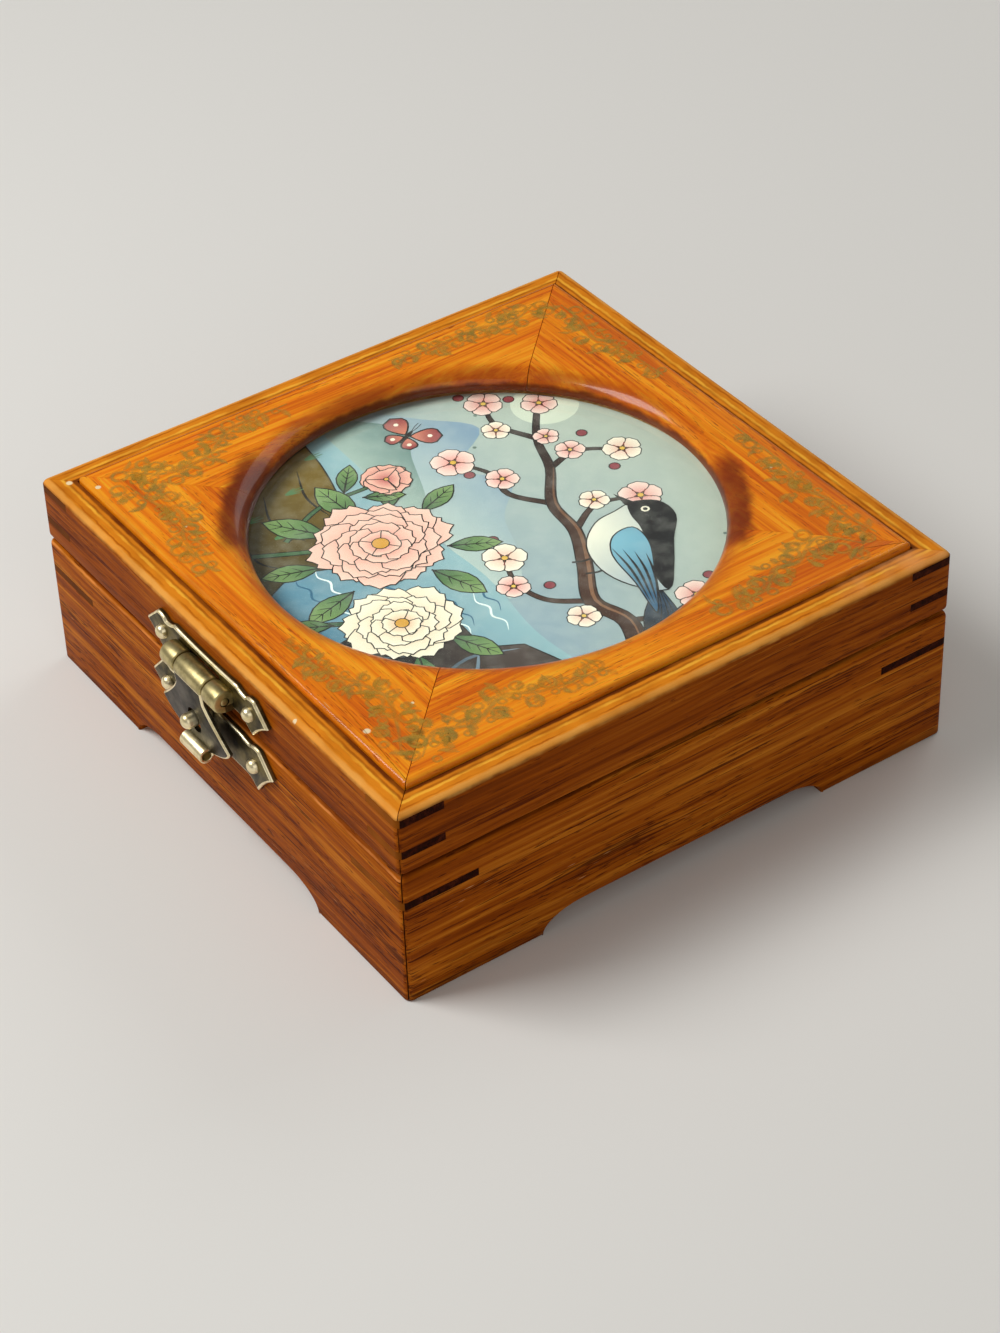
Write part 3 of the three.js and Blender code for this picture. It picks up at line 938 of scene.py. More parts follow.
@dataclass
class Joinery(SubAssembly):
    """Mitred boards tied by dark splines, as both the base and the lid are made.

    On the front, the ends of the splines have faded towards the tone of the boards.
    """

    faded_ends: tuple[tuple[str, float], ...] = (("front_right", 0.95), ("front_left", 0.45))
    corner_radius: float = 1.2
    open_seam: float = 0.11
    tight_seam: float = 0.02
    spline_clearance: float = 0.05

    def seam(self, corner: int) -> float:
        """Half the width of a corner's glue line. Two of the four have opened a little."""
        opened = CORNERS[corner] in ("front_right", "back_left")
        return self.open_seam if opened else self.tight_seam

    def wedge(self, turn: int) -> Piece:
        """The space of the board on one side, between its two mitres, drawn at the front."""
        far = 2 * self.layout.half
        wedge = add_block("wedge", (-far, -far, -far), (far, -1, far))
        for corner, sideways in (((turn + 3) % 4, 1), ((turn + 2) % 4, -1)):
            normal = Vector((sideways, 1, 0)) / ROOT2
            slice_off(wedge, normal * -self.seam(corner), normal)
        apply_place(wedge, rotation_euler=(0, 0, turn * QUARTER))
        return wedge

    def corner_block(self, name: str, reach: float, levels: Sequence[Vector], grow: float) -> Piece:
        """The flat triangle across the back right corner, as a spline or as its kerf."""
        half = self.layout.half
        out = half + (2 if grow else 0)
        block = add_block(name, (0, 0, levels[0].z - grow), (out, out, levels[1].z + grow))
        if not grow:
            with editing(block):
                bevel(block, self.corner_radius, 5, lambda edge: all(
                    min(v.co.x, v.co.y) > half - 0.1 for v in edge.verts))
        inner = half - reach / 2 - grow / ROOT2
        slice_off(block, (inner, inner, 0), (-1, -1, 0))
        return block

    def round_corners(self, ring: Piece) -> None:
        """Rounds the four upright corners of a ring, in edit mode."""
        bevel(ring, self.corner_radius, 5, lambda edge: all(
            min(abs(v.co.x), abs(v.co.y)) > self.layout.half - 0.01 for v in edge.verts))

    def splines(self, reach: float, levels: Sequence[str], ring: Piece) -> None:
        """Saws the kerfs across the corners, and fills each with its spline.

        Args:
            reach: How far along each side a spline shows.
            levels: The start of the nodes' names for each level of splines.
            ring: The ring of boards, still in one piece.
        """
        saws, half = [], self.layout.half
        for kind in levels:
            span = self.layout.box(f"{kind}_{CORNERS[0]}")
            for turn, corner in enumerate(CORNERS):
                kerf = self.corner_block("kerf", reach, span, self.spline_clearance)
                apply_place(kerf, rotation_euler=(0, 0, turn * QUARTER))
                saws.append(kerf)
                spline = self.corner_block(f"{kind}_{corner}_wood", reach, span, 0)
                marks_and_light = [StainAndPaintedLight(Measure.DEPTH, -half, 0.7, "#94500f", fade, 0.8, 0.1, patchy=0.3)
                          for faded, fade in self.faded_ends if faded == corner]
                finish = SPLINE_WOOD.material(f"{kind}_{corner}", Grain.ALONG_X,
                                              turn + round(span[0].z), self.layout, marks_and_light)
                self.deliver(spline, "spline_wood", [f"{kind}_{corner}"], [finish], turn)
        combine(ring, join(saws, "kerfs"))

    def boards(self, kind: str, ring: Piece, wood: Wood, slot: str, marks_and_light: Sequence[StainAndPaintedLight],
               seed: int, own: dict[str, Sequence[StainAndPaintedLight]] | None = None) -> None:
        """Parts a ring into its four boards and finishes each with its own wood.

        Args:
            kind: The start of the nodes' names.
            ring: The ring with every cut but the mitres.
            wood: The wood.
            slot: The record's material slot.
            marks_and_light: The real marks, painted shade and painted highlights on every board.
            seed: Where in the tree the boards were cut.
            own: The real marks and painted highlights of single boards, by their side.
        """
        with editing(ring):
            bpy.ops.mesh.quads_convert_to_tris()
        for turn, side in enumerate(SIDES):
            board = copy_of(ring, f"{kind}_{side}_wood")
            combine(board, self.wedge(turn), "INTERSECT")
            grain = Grain.ALONG_X if turn % 2 == 0 else Grain.ALONG_Y
            marks = [*marks_and_light, *(own or {}).get(side, ())]
            finish = wood.material(f"{kind}_{side}", grain, seed + turn, self.layout, marks)
            self.deliver(board, slot, [f"{kind}_{side}"], [finish])
        bpy.data.objects.remove(ring, do_unlink=True)

    def chip(self, ring: Piece, place: Sequence[float], size: Sequence[float], seed: int) -> None:
        """Breaks a small ragged chip out of an edge."""
        bpy.ops.mesh.primitive_ico_sphere_add(subdivisions=3, radius=1, location=place)
        stone = new_piece("chip")
        draw = random.Random(seed)
        for vertex in stone.data.vertices:
            vertex.co *= 1 + draw.uniform(-0.22, 0.22)
        apply_place(stone, scale=size)
        combine(ring, stone)

    def lining(self, node: str, puff: float, way: int) -> None:
        """A velvet-covered card, soft at its edges, with a face that swells a little.

        Args:
            node: The node that it stands for.
            puff: How far the middle of its face stands out past its corners.
            way: 1 where that face looks up, and -1 where it looks down.
        """
        low, high = self.layout.box(node)
        card = add_block(f"{node}_velvet", low, high)
        with editing(card):
            bpy.ops.mesh.bevel(offset=min(0.5, (high.z - low.z) * 0.35), segments=3, affect="EDGES")
            pick(card, Pick.FACE, lambda face: face.normal.z * way > 0.9)
            bpy.ops.mesh.inset(thickness=1.2)
            bpy.ops.mesh.subdivide(number_cuts=40)
        draw = random.Random(7)
        waves = [(draw.uniform(0.05, 0.16), draw.uniform(0, 6.3), draw.uniform(0, 6.3))
                 for _ in range(4)]
        level = high.z if way > 0 else low.z
        for vertex in card.data.vertices:
            place = vertex.co
            if abs(place.z - level) > 0.01:
                continue
            room = min(1.0, (high.x - max(abs(place.x), abs(place.y))) / 9)
            ripple = sum(math.sin(place.x * k + a) * math.sin(place.y * k + b)
                         for k, a, b in waves) / 4
            place.z += way * puff * max(0.0, room) ** 0.5 * (0.75 + 0.25 * ripple)
        velvet = VELVET.material(f"cotton_velvet_{self.body}")
        self.deliver(card, "lining_cloth", [node], [velvet], smooth=60)


@dataclass
class Base(Joinery):
    """The lower half of the box: boards with a low arch under each, bottom board and lining."""

    rim_ease: float = 0.4
    arch_height: float = 3.8
    arch_floor: float = 60.0
    arch_top: float = 43.0
    groove_depth: float = 2.5
    spline_reach: float = 15.0
    lining_puff: float = 0.5

    def build(self) -> None:
        """Builds the base."""
        ring = self.ring()
        self.splines(self.spline_reach, ["base_spline"], ring)
        top = self.layout.base_top
        # Darker towards the bottom edge, and painted shade along the top edge, in the gap under the lid.
        marks_and_light = [StainAndPaintedLight(Measure.HEIGHT, 0.0, 2.2, "#4a1c07", 0.5, ragged=0.6),
                  StainAndPaintedLight(Measure.HEIGHT, top, 0.4, "#4a1a06", 0.6, ragged=0.2)]
        # Painted highlight: a pale line just under the front board's top edge, on its rounded arris.
        own = {"front": [StainAndPaintedLight(Measure.HEIGHT, top - 0.7, 0.3, "#e8924a", 0.75, ragged=0.15,
                               patchy=0.85)]}
        self.boards("base_board", ring, SIDE_WOOD, "side_wood", marks_and_light, 3, own)
        board = add_block("bottom_board_ply", *self.layout.box("bottom_board"))
        ease_edges(board, 0.3)
        self.deliver(board, "plywood", ["bottom_board"], [
            BIRCH_PLY.material("birch_plywood", Grain.ALONG_X, 41, self.layout)])
        self.lining("base_liner", self.lining_puff, 1)

    def ring(self) -> Piece:
        """The four boards in one, hollow, with the arches and the bottom board's groove."""
        half, inner = self.layout.half, self.layout.half - self.layout.wall
        top = self.layout.base_top
        ring = add_slab("ring", half, 0, top)
        for turn in (0, 1):
            arch = self.arch()
            apply_place(arch, rotation_euler=(0, 0, turn * QUARTER))
            combine(ring, arch)
        combine(ring, add_slab("hollow", inner, -5, top + 5))
        with editing(ring):
            self.round_corners(ring)
            bevel(ring, self.rim_ease, 3, lambda edge: outer_corner(edge) and not (
                self.arch_height + 0.1 <= middle(edge).z <= top - 0.1))
        low, high = self.layout.box("bottom_board")
        combine(ring, add_slab("groove", inner + self.groove_depth, low.z - 0.1, high.z + 0.1))
        return ring

    def arch(self) -> Piece:
        """The cutter for two arches that face each other: a slab whose upper corners are round."""
        flat, far, rise = self.arch_top / 2, self.layout.half + 5, self.arch_height
        arch = add_block("arch", (-flat - rise, -far, -5), (flat + rise, far, rise))
        stretch = (self.arch_floor / 2 - flat) / rise
        with editing(arch):
            bevel(arch, rise * 0.999, 10, lambda edge: abs(middle(edge).y) < 1 and all(
                v.co.z > 0 and abs(v.co.x) > flat for v in edge.verts))
            for side in (-1, 1):
                pick(arch, Pick.VERT, lambda vert: vert.co.x * side > flat)
                bpy.ops.transform.resize(value=(stretch, 1, 1), center_override=(side * flat, 0, 0))
        return arch


def flecks(*spots: Sequence[float]) -> list[StainAndPaintedLight]:
    """Spots in X, Y and size where the varnish has flaked off the lid's top to bare wood."""
    return [StainAndPaintedLight(Measure.RADIUS, 0.0, size, "#f7dfb2", 1.0, 0.6, 0.35, (39.9, 45.0), (x, y),
                  patchy=0) for x, y, size in spots]


@dataclass
class Lid(Joinery):
    """The upper half of the box: boards, the top frame with its round opening, and the lining."""

    open_seam: float = 0.07
    rim_ease: float = 0.35
    ledge_ease: float = 0.9
    panel_corner: float = 0.7
    panel_ease: float = 0.9
    spline_reach: float = 9.0
    opening_radius: float = 42.0
    opening_steps: int = 144
    roundover_width: float = 4.5
    roundover_depth: float = 3.3
    lip: float = 0.3
    glass_clearance: float = 0.4
    lining_puff: float = 0.25

    def build(self) -> None:
        """Builds the lid."""
        ring = self.ring()
        self.splines(self.spline_reach, ["lid_spline_lower", "lid_spline_upper"], ring)
        top, half = self.layout.ledge_top, self.layout.half
        self.chip(ring, (0.1, half, top), (1.3, 0.7, 0.5), 5)
        self.chip(ring, (-31.0, -half, top), (0.8, 0.35, 0.3), 8)
        self.chip(ring, (half, -20.5, top), (0.3, 0.9, 0.35), 9)
        step = self.layout.panel_half
        ledge, arris = (top - 0.5, top + 1), (top - 1.0, top + 1)
        marks_and_light = [StainAndPaintedLight(Measure.SQUARE, *looks, patchy=patchy) for *looks, patchy in (
            # Painted top light: the top of the ledge painted paler than the boards' own wood.
            (half - 2.0, 3.4, "#ff9c26", 0.7, 0.7, 0.3, ledge, 0.3),
            (half - 2.9, 0.5, "#ffbc3e", 0.8, 0.3, 0.5, ledge, 0.8),
            (half - 1.5, 0.3, "#a8500c", 0.7, 0.2, 0.5, ledge, 0.9),
            # Painted highlight along the ledge's outer rounded arris.
            (half - 0.6, 0.8, "#f6b45a", 0.6, 0.3, 0.3, arris, 0.55),
            # Painted shade at the foot of the panel's step, on the ledge.
            (step + 0.2, 0.9, "#5a210c", 0.9, 0.5, 0.25, ledge, 0.25),
            (step + 1.7, 0.4, "#8a3f0a", 0.6, 0.2, 0.3, ledge, 0.55))]
        # Painted shade along the lid's bottom edge, at the gap over the base.
        marks_and_light.append(StainAndPaintedLight(Measure.HEIGHT, self.layout.lid_bottom, 0.5, "#4a1a06", 0.6,
                            ragged=0.2))
        own = {"front": flecks((-53.0, -54.0, 0.7), (27.1, -57.2, 0.5)),
               "right": [StainAndPaintedLight(Measure.RADIUS, 0, 20, "#f0a868", 0.5, 0.5, 1.5, ledge,
                               (half, half - 6), patchy=0.9)]}
        self.boards("lid_board", ring, LID_WOOD, "side_wood", marks_and_light, 11, own)
        self.rails()
        self.lining("lid_liner", self.lining_puff, -1)

    def ring(self) -> Piece:
        """The four boards in one, hollow, with the rebate that the top frame lies in."""
        layout = self.layout
        low, high = layout.lid_bottom, layout.ledge_top
        ring = add_slab("ring", layout.half, low, high)
        combine(ring, add_slab("hollow", layout.half - layout.wall, 0, 60))
        with editing(ring):
            self.round_corners(ring)
            bevel(ring, self.ledge_ease, 4,
                  lambda edge: outer_corner(edge) and middle(edge).z > high - 0.1)
            bevel(ring, self.rim_ease, 3,
                  lambda edge: outer_corner(edge) and middle(edge).z < low + 0.1)
        combine(ring, add_slab("rebate", layout.panel_half + 0.12, layout.rail_bottom - 0.2, 60))
        return ring

    def rails(self) -> None:
        """The four mitred rails of the top frame, with the round opening turned through them."""
        layout, radius = self.layout, self.opening_radius
        reach, top = layout.panel_half, layout.panel_top
        frame = add_slab("frame", reach, layout.rail_bottom, top)
        with editing(frame):
            bevel(frame, self.panel_corner, 3,
                  lambda edge: abs((edge.verts[0].co - edge.verts[1].co).z) > 1)
            bevel(frame, self.panel_ease, 4,
                  lambda edge: outer_corner(edge) and middle(edge).z > top - 0.1)
        width, depth = self.roundover_width, self.roundover_depth
        seat = layout.box("picture_glass")[1].x + self.glass_clearance
        lip_bottom = top - depth - self.lip
        curve = [(radius + width * (1 - math.cos(a)), top - depth * (1 - math.sin(a)))
                 for a in (step / 9 * QUARTER for step in range(10))]
        profile = [(0, 0), (seat, 0), (seat, lip_bottom), (radius, lip_bottom), *curve,
                   (radius + width, top + 2), (0, top + 2)]
        opening = turn_profile("opening", profile, self.opening_steps)
        apply_place(opening, rotation_euler=(0, 0, math.pi / self.opening_steps))
        combine(frame, opening)
        marks_and_light = [
            # Round the opening: a redder band all round, and darker patches towards the back left and at the
            # two sides; they are partly a darker colour of the wood itself and partly painted shade and dark
            # reflection on the roundover.
            StainAndPaintedLight(Measure.RADIUS, radius, 5.4, "#ad4c08", 0.55, 0.3, 1.2),
            StainAndPaintedLight(Measure.RADIUS, radius + 0.4, 3.4, "#93400c", 0.5, 0.3, 1.1, towards=165,
                  spread=75, patchy=0.6),
            StainAndPaintedLight(Measure.RADIUS, radius + 1.4, 5.0, "#661f03", 0.92, 0.45, 1.4, towards=229,
                  spread=21, patchy=0.2),
            StainAndPaintedLight(Measure.RADIUS, radius + 1.2, 4.4, "#752604", 0.9, 0.45, 1.4, towards=57,
                  spread=20, patchy=0.2),
            # Painted shadow: a thin dark line round the lip, above the glass.
            StainAndPaintedLight(Measure.RADIUS, radius - 0.1, 0.6, "#5a1f06", 0.85, 0.3, 0.3, patchy=0),
            # Painted shade on the step at the panel's outer edge.
            StainAndPaintedLight(Measure.SQUARE, reach, 1.2, "#b05a08", 0.5, 0.3, 0.4)]
        own = {"front": flecks((-47.2, -51.2, 0.55), (37.9, -50.0, 0.7), (36.4, -40.2, 0.4),
                               (-27.6, -44.8, 0.35)),
               "back": flecks((20.4, 47.2, 0.4))}
        self.boards("top_rail", frame, TOP_WOOD_WITH_PAINTED_LIGHT, "top_wood", marks_and_light, 23, own)


@dataclass
class Ribbon:
    """A flat painted stroke that follows a line and swells and tapers."""

    points: Line
    widths: Sequence[float]

    def mesh(self, height: float, colour: Callable) -> Piece:
        """Lays the stroke on a level.

        Args:
            height: Its level above the floor.
            colour: Takes a spot and how far out it is, from 0 to 1, and gives linear RGBA.

        Returns:
            The stroke.
        """
        last = len(self.points) - 1
        bpy.ops.mesh.primitive_grid_add(x_subdivisions=last, y_subdivisions=2, size=2)
        stroke = new_piece("stroke")
        paint = stroke.data.color_attributes.new("paint", "FLOAT_COLOR", "CORNER")
        colours = []
        for vertex in stroke.data.vertices:
            step = round((vertex.co.x + 1) / 2 * last)
            across = vertex.co.y
            ahead = self.points[min(last, step + 1)] - self.points[max(0, step - 1)]
            sideways = Vector((-ahead.y, ahead.x)).normalized() * self.widths[step] / 2 * across
            spot = self.points[step] + sideways
            vertex.co = (spot.x, spot.y, height)
            colours.append(colour(spot, abs(across)))
        for loop in stroke.data.loops:
            paint.data[loop.index].color = colours[loop.vertex_index]
        return stroke


@dataclass
class ScrollWork(SubAssembly):
    """Faded stencilled sprays of curls, rings and leaves in the corners of the frame.

    Each spray follows a line from the mitre, where it is dense, out along its rail.
    """

    lift: float = 0.03
    step: float = 0.0004
    pitch: float = 3.0
    ring_width: float = 1.15
    leaf_width: float = 2.6
    lines: tuple[Corners, ...] = (
        ((-44.5, -47.0), (-37.0, -45.7), (-31.5, -43.5), (-24.4, -47.0), (-14.3, -48.0)),
        ((46.5, -49.0), (39.0, -45.0), (32.5, -42.8), (26.2, -44.7), (21.3, -47.0), (10.1, -49.0)),
        ((48.6, -46.5), (44.5, -41.5), (46.8, -35.0), (43.8, -27.5), (46.9, -21.0), (48.2, -9.3)),
        ((47.8, 46.0), (41.5, 40.5), (45.0, 33.5), (44.0, 29.0), (47.8, 23.7), (46.0, 14.3)),
        ((46.5, 49.6), (40.0, 48.6), (33.0, 49.0), (27.5, 46.2), (22.5, 49.3), (6.0, 50.0)),
        ((-45.0, 48.6), (-38.8, 48.4), (-32.0, 46.8), (-27.1, 48.8), (-14.0, 49.6)),
        ((-48.6, 45.0), (-46.0, 38.0), (-48.4, 30.0), (-47.6, 22.0), (-49.2, 12.0)),
        ((-48.8, -45.5), (-43.5, -39.5), (-43.6, -31.0), (-48.4, -22.5), (-48.8, -10.5)))

    def build(self) -> None:
        """Paints the eight sprays."""
        sprays = [self.spray(line, number) for number, line in enumerate(self.lines)]
        self.deliver(join(sprays, "scroll_stencil"), "top_wood", [], [stencil_material()])

    def spray(self, line: Corners, seed: int) -> Piece:
        """Paints one spray.

        Args:
            line: The corners of the line that it follows.
            seed: Varies the spray.

        Returns:
            The spray.
        """
        draw = random.Random(seed)
        stem = smooth_line(line, 8)
        motifs = [(stem, swell(len(stem), 1.5, 0.4))]
        gone, due = 0.0, 0.6
        length = sum((b - a).length for a, b in zip(stem, stem[1:]))
        for here, there in zip(stem, stem[1:]):
            gone += (there - here).length
            if gone < due:
                continue
            due += self.pitch
            motifs += self.motif(draw, here, there - here, 1 - gone / length)
        strokes = []
        for points, widths in motifs:
            height = self.layout.panel_top + self.lift + self.step * len(strokes)
            strokes.append(Ribbon(points, widths).mesh(
                height, lambda _, out: (1 - out, 1 - out, 1 - out, 1)))
        return join(strokes, "spray")

    def motif(self, draw: random.Random, spot: Vector, ahead: Vector,
              dense: float) -> list[tuple[list[Vector], list[float]]]:
        """The rings and leaves at one spot of a spray.

        Args:
            draw: Where chance comes from.
            spot: A point of the stem.
            ahead: Which way the stem runs there.
            dense: 1 by the mitre and 0 at the tip.

        Returns:
            The lines and widths of its strokes.
        """
        heading = math.atan2(ahead.y, ahead.x)
        side = draw.choice((-1, 1))
        found = []
        for size in (draw.uniform(1.05, 1.4), draw.uniform(0.6, 0.85)):
            side = -side
            out = side * (size + draw.uniform(0.1, 0.3 + 1.9 * dense))
            ring = arc(size, 0, 360, 13, spot + towards(heading + QUARTER, out))
            found.append((ring, [self.ring_width * (0.5 + 0.4 * size)] * len(ring)))
        for _ in range(2 + round(3 * dense)):
            side = -side
            turn = heading + side * draw.uniform(0.2, 1.5)
            start = spot + towards(turn, draw.uniform(0.2, 1.0 + 2.0 * dense))
            size = draw.uniform(2.0, 4.0)
            blade = curl(start, turn, size, side * 0.25, 0.0, 5)
            found.append((blade, swell(len(blade), self.leaf_width * draw.uniform(0.6, 1), 0.15)))
        reach = self.layout.panel_half - 1.3
        return [(points, widths) for points, widths in found
                if max(max(abs(p.x), abs(p.y)) for p in points) < reach]


@dataclass(frozen=True)
class Wash:
    """Paint that changes evenly from one colour to another.

    It changes outwards from its focus, or along its direction, in radians, where it has one.
    Without a far colour it is plain.
    """

    near: str
    far: str = ""
    focus: Sequence[float] = (0.0, 0.0)
    reach: float = 10.0
    direction: float | None = None

    def at(self, spot: Vector) -> tuple[float, ...]:
        """The linear colour at a spot."""
        away = Vector(spot[:2]) - Vector(self.focus)
        gone = away.length if self.direction is None else away.dot(towards(self.direction))
        share = min(1.0, max(0.0, gone / self.reach))
        near, far = linear(self.near), linear(self.far or self.near)
        return tuple(a + (b - a) * share for a, b in zip(near, far))


@dataclass
class Painting:
    """Flat painted shapes with ink outlines on a round card, each laid on those it covers."""

    edge: float
    ink: Wash = Wash("#17110f")
    finest_step: float = 0.004
    loose: list[Piece] = field(default_factory=list)
    covered: list[tuple[float, float, float, float, int]] = field(default_factory=list)

    def held(self, points: Line) -> list[Vector]:
        """Draws the points that lie outside the card in to its edge."""
        return [point * min(1.0, self.edge / max(point.length, 0.01)) for point in points]

    def lay(self, piece: Piece) -> None:
        """Gives a piece the lowest level above all that its own box touches."""
        across = [vertex.co.x for vertex in piece.data.vertices]
        along = [vertex.co.y for vertex in piece.data.vertices]
        left, low, right, high = min(across), min(along), max(across), max(along)
        level = 1 + max((n for a, b, c, d, n in self.covered
                         if a < right and c > left and b < high and d > low), default=0)
        self.covered.append((left, low, right, high, level))
        for vertex in piece.data.vertices:
            vertex.co.z = level
        self.loose.append(piece)
        if len(self.loose) > 40:
            self.loose = [join(self.loose, "picture_print")]

    def shape(self, points: Line, wash: Wash, line: float) -> None:
        """Lays one shape.

        Args:
            points: The outline.
            wash: Its paint.
            line: The width of the ink line round it, or 0 for none.
        """
        face = outline_face("shape", self.held(points))
        with editing(face):
            if line:
                bpy.ops.mesh.inset(thickness=line, use_boundary=True)
            bpy.ops.mesh.quads_convert_to_tris(ngon_method="BEAUTY")
        mesh = face.data
        paint = mesh.color_attributes.new("paint", "FLOAT_COLOR", "CORNER")
        for polygon in mesh.polygons:
            fill = wash if polygon.select else self.ink
            for loop in polygon.loop_indices:
                spot = mesh.vertices[mesh.loops[loop].vertex_index].co
                paint.data[loop].color = fill.at(spot)
        self.lay(face)

    def stroke(self, points: Line, widths: Sequence[float], wash: Wash | None = None) -> None:
        """Lays one brush stroke, in ink where no other paint is given."""
        fill = wash or self.ink
        self.lay(Ribbon(self.held(points), widths).mesh(0, lambda spot, _: fill.at(spot)))

    def brush(self, points: Line, widest: float, ends: float, wash: Wash | None = None) -> None:
        """Lays a stroke that is thin at both ends, its ends a share of its widest."""
        self.stroke(points, swell(len(points), widest, ends), wash)

    def limb(self, corners: Corners, root: float, tip: float, wash: Wash) -> None:
        """Lays a branch or stem that tapers, with an ink line down each side."""
        points = smooth_line(corners)
        last = len(points) - 1
        widths = [root + (tip - root) * step / last for step in range(last + 1)]
        self.stroke(points, [width + 0.45 for width in widths])
        self.stroke(points, widths, wash)

    def finish(self, bottom: float, top: float) -> Piece:
        """Stacks the levels between two heights and joins everything."""
        step = min(self.finest_step, (top - bottom) / max(cover[-1] for cover in self.covered))
        whole = join(self.loose, "picture_print")
        for vertex in whole.data.vertices:
            vertex.co.z = bottom + vertex.co.z * step
        return whole


def grown(centre: Vector, angle: float, outline: Corners) -> list[Vector]:
    """Lays an outline, given along and across, out from a centre in a direction in radians."""
    return [centre + towards(angle, along) + towards(angle + QUARTER, across)
            for along, across in outline]


def petal_outline(centre: Vector, angle: float, start: float, length: float, width: float,
                  tip: float) -> list[Vector]:
    """A petal or leaf that grows outwards from near a centre.

    Args:
        centre: The flower's middle.
        angle: The direction it grows in, in radians.
        start: How far from the middle it starts.
        length: Its length.
        width: Its greatest width.
        tip: Nearer 0 for a pointed tip, nearer 1 for a blunt one.

    Returns:
        The outline, anticlockwise.
    """
    side = []
    for share in (step / 6 for step in range(1, 6)):
        bulge = math.sin(math.pi * share ** (1 + 0.6 * tip)) ** (0.95 - 0.45 * tip)
        side.append((start + length * share, bulge * width / 2))
    return grown(centre, angle, [(start, 0), *((u, -v) for u, v in side), (start + length, 0),
                                 *reversed(side)])


def ruffled_petal(centre: Vector, angle: float, length: float, width: float,
                  ripple: float) -> list[Vector]:
    """A broad petal with a wavy outer edge.

    Args:
        centre: The flower's middle.
        angle: The direction it grows in, in radians.
        length: Its length.
        width: Its greatest width.
        ripple: How deep its waves are, as a share of its length.

    Returns:
        The outline, anticlockwise.
    """
    edge = [(1 - 0.3 * abs(t) ** 2.5 + ripple * math.cos(3 * math.pi * t), t / 2)
            for t in (step / 5 - 1 for step in range(11))]
    outline = [(0.04, -0.06), (0.5, -0.4), *edge, (0.5, 0.4), (0.04, 0.06)]
    return grown(centre, angle, [(u * length, v * width) for u, v in outline])


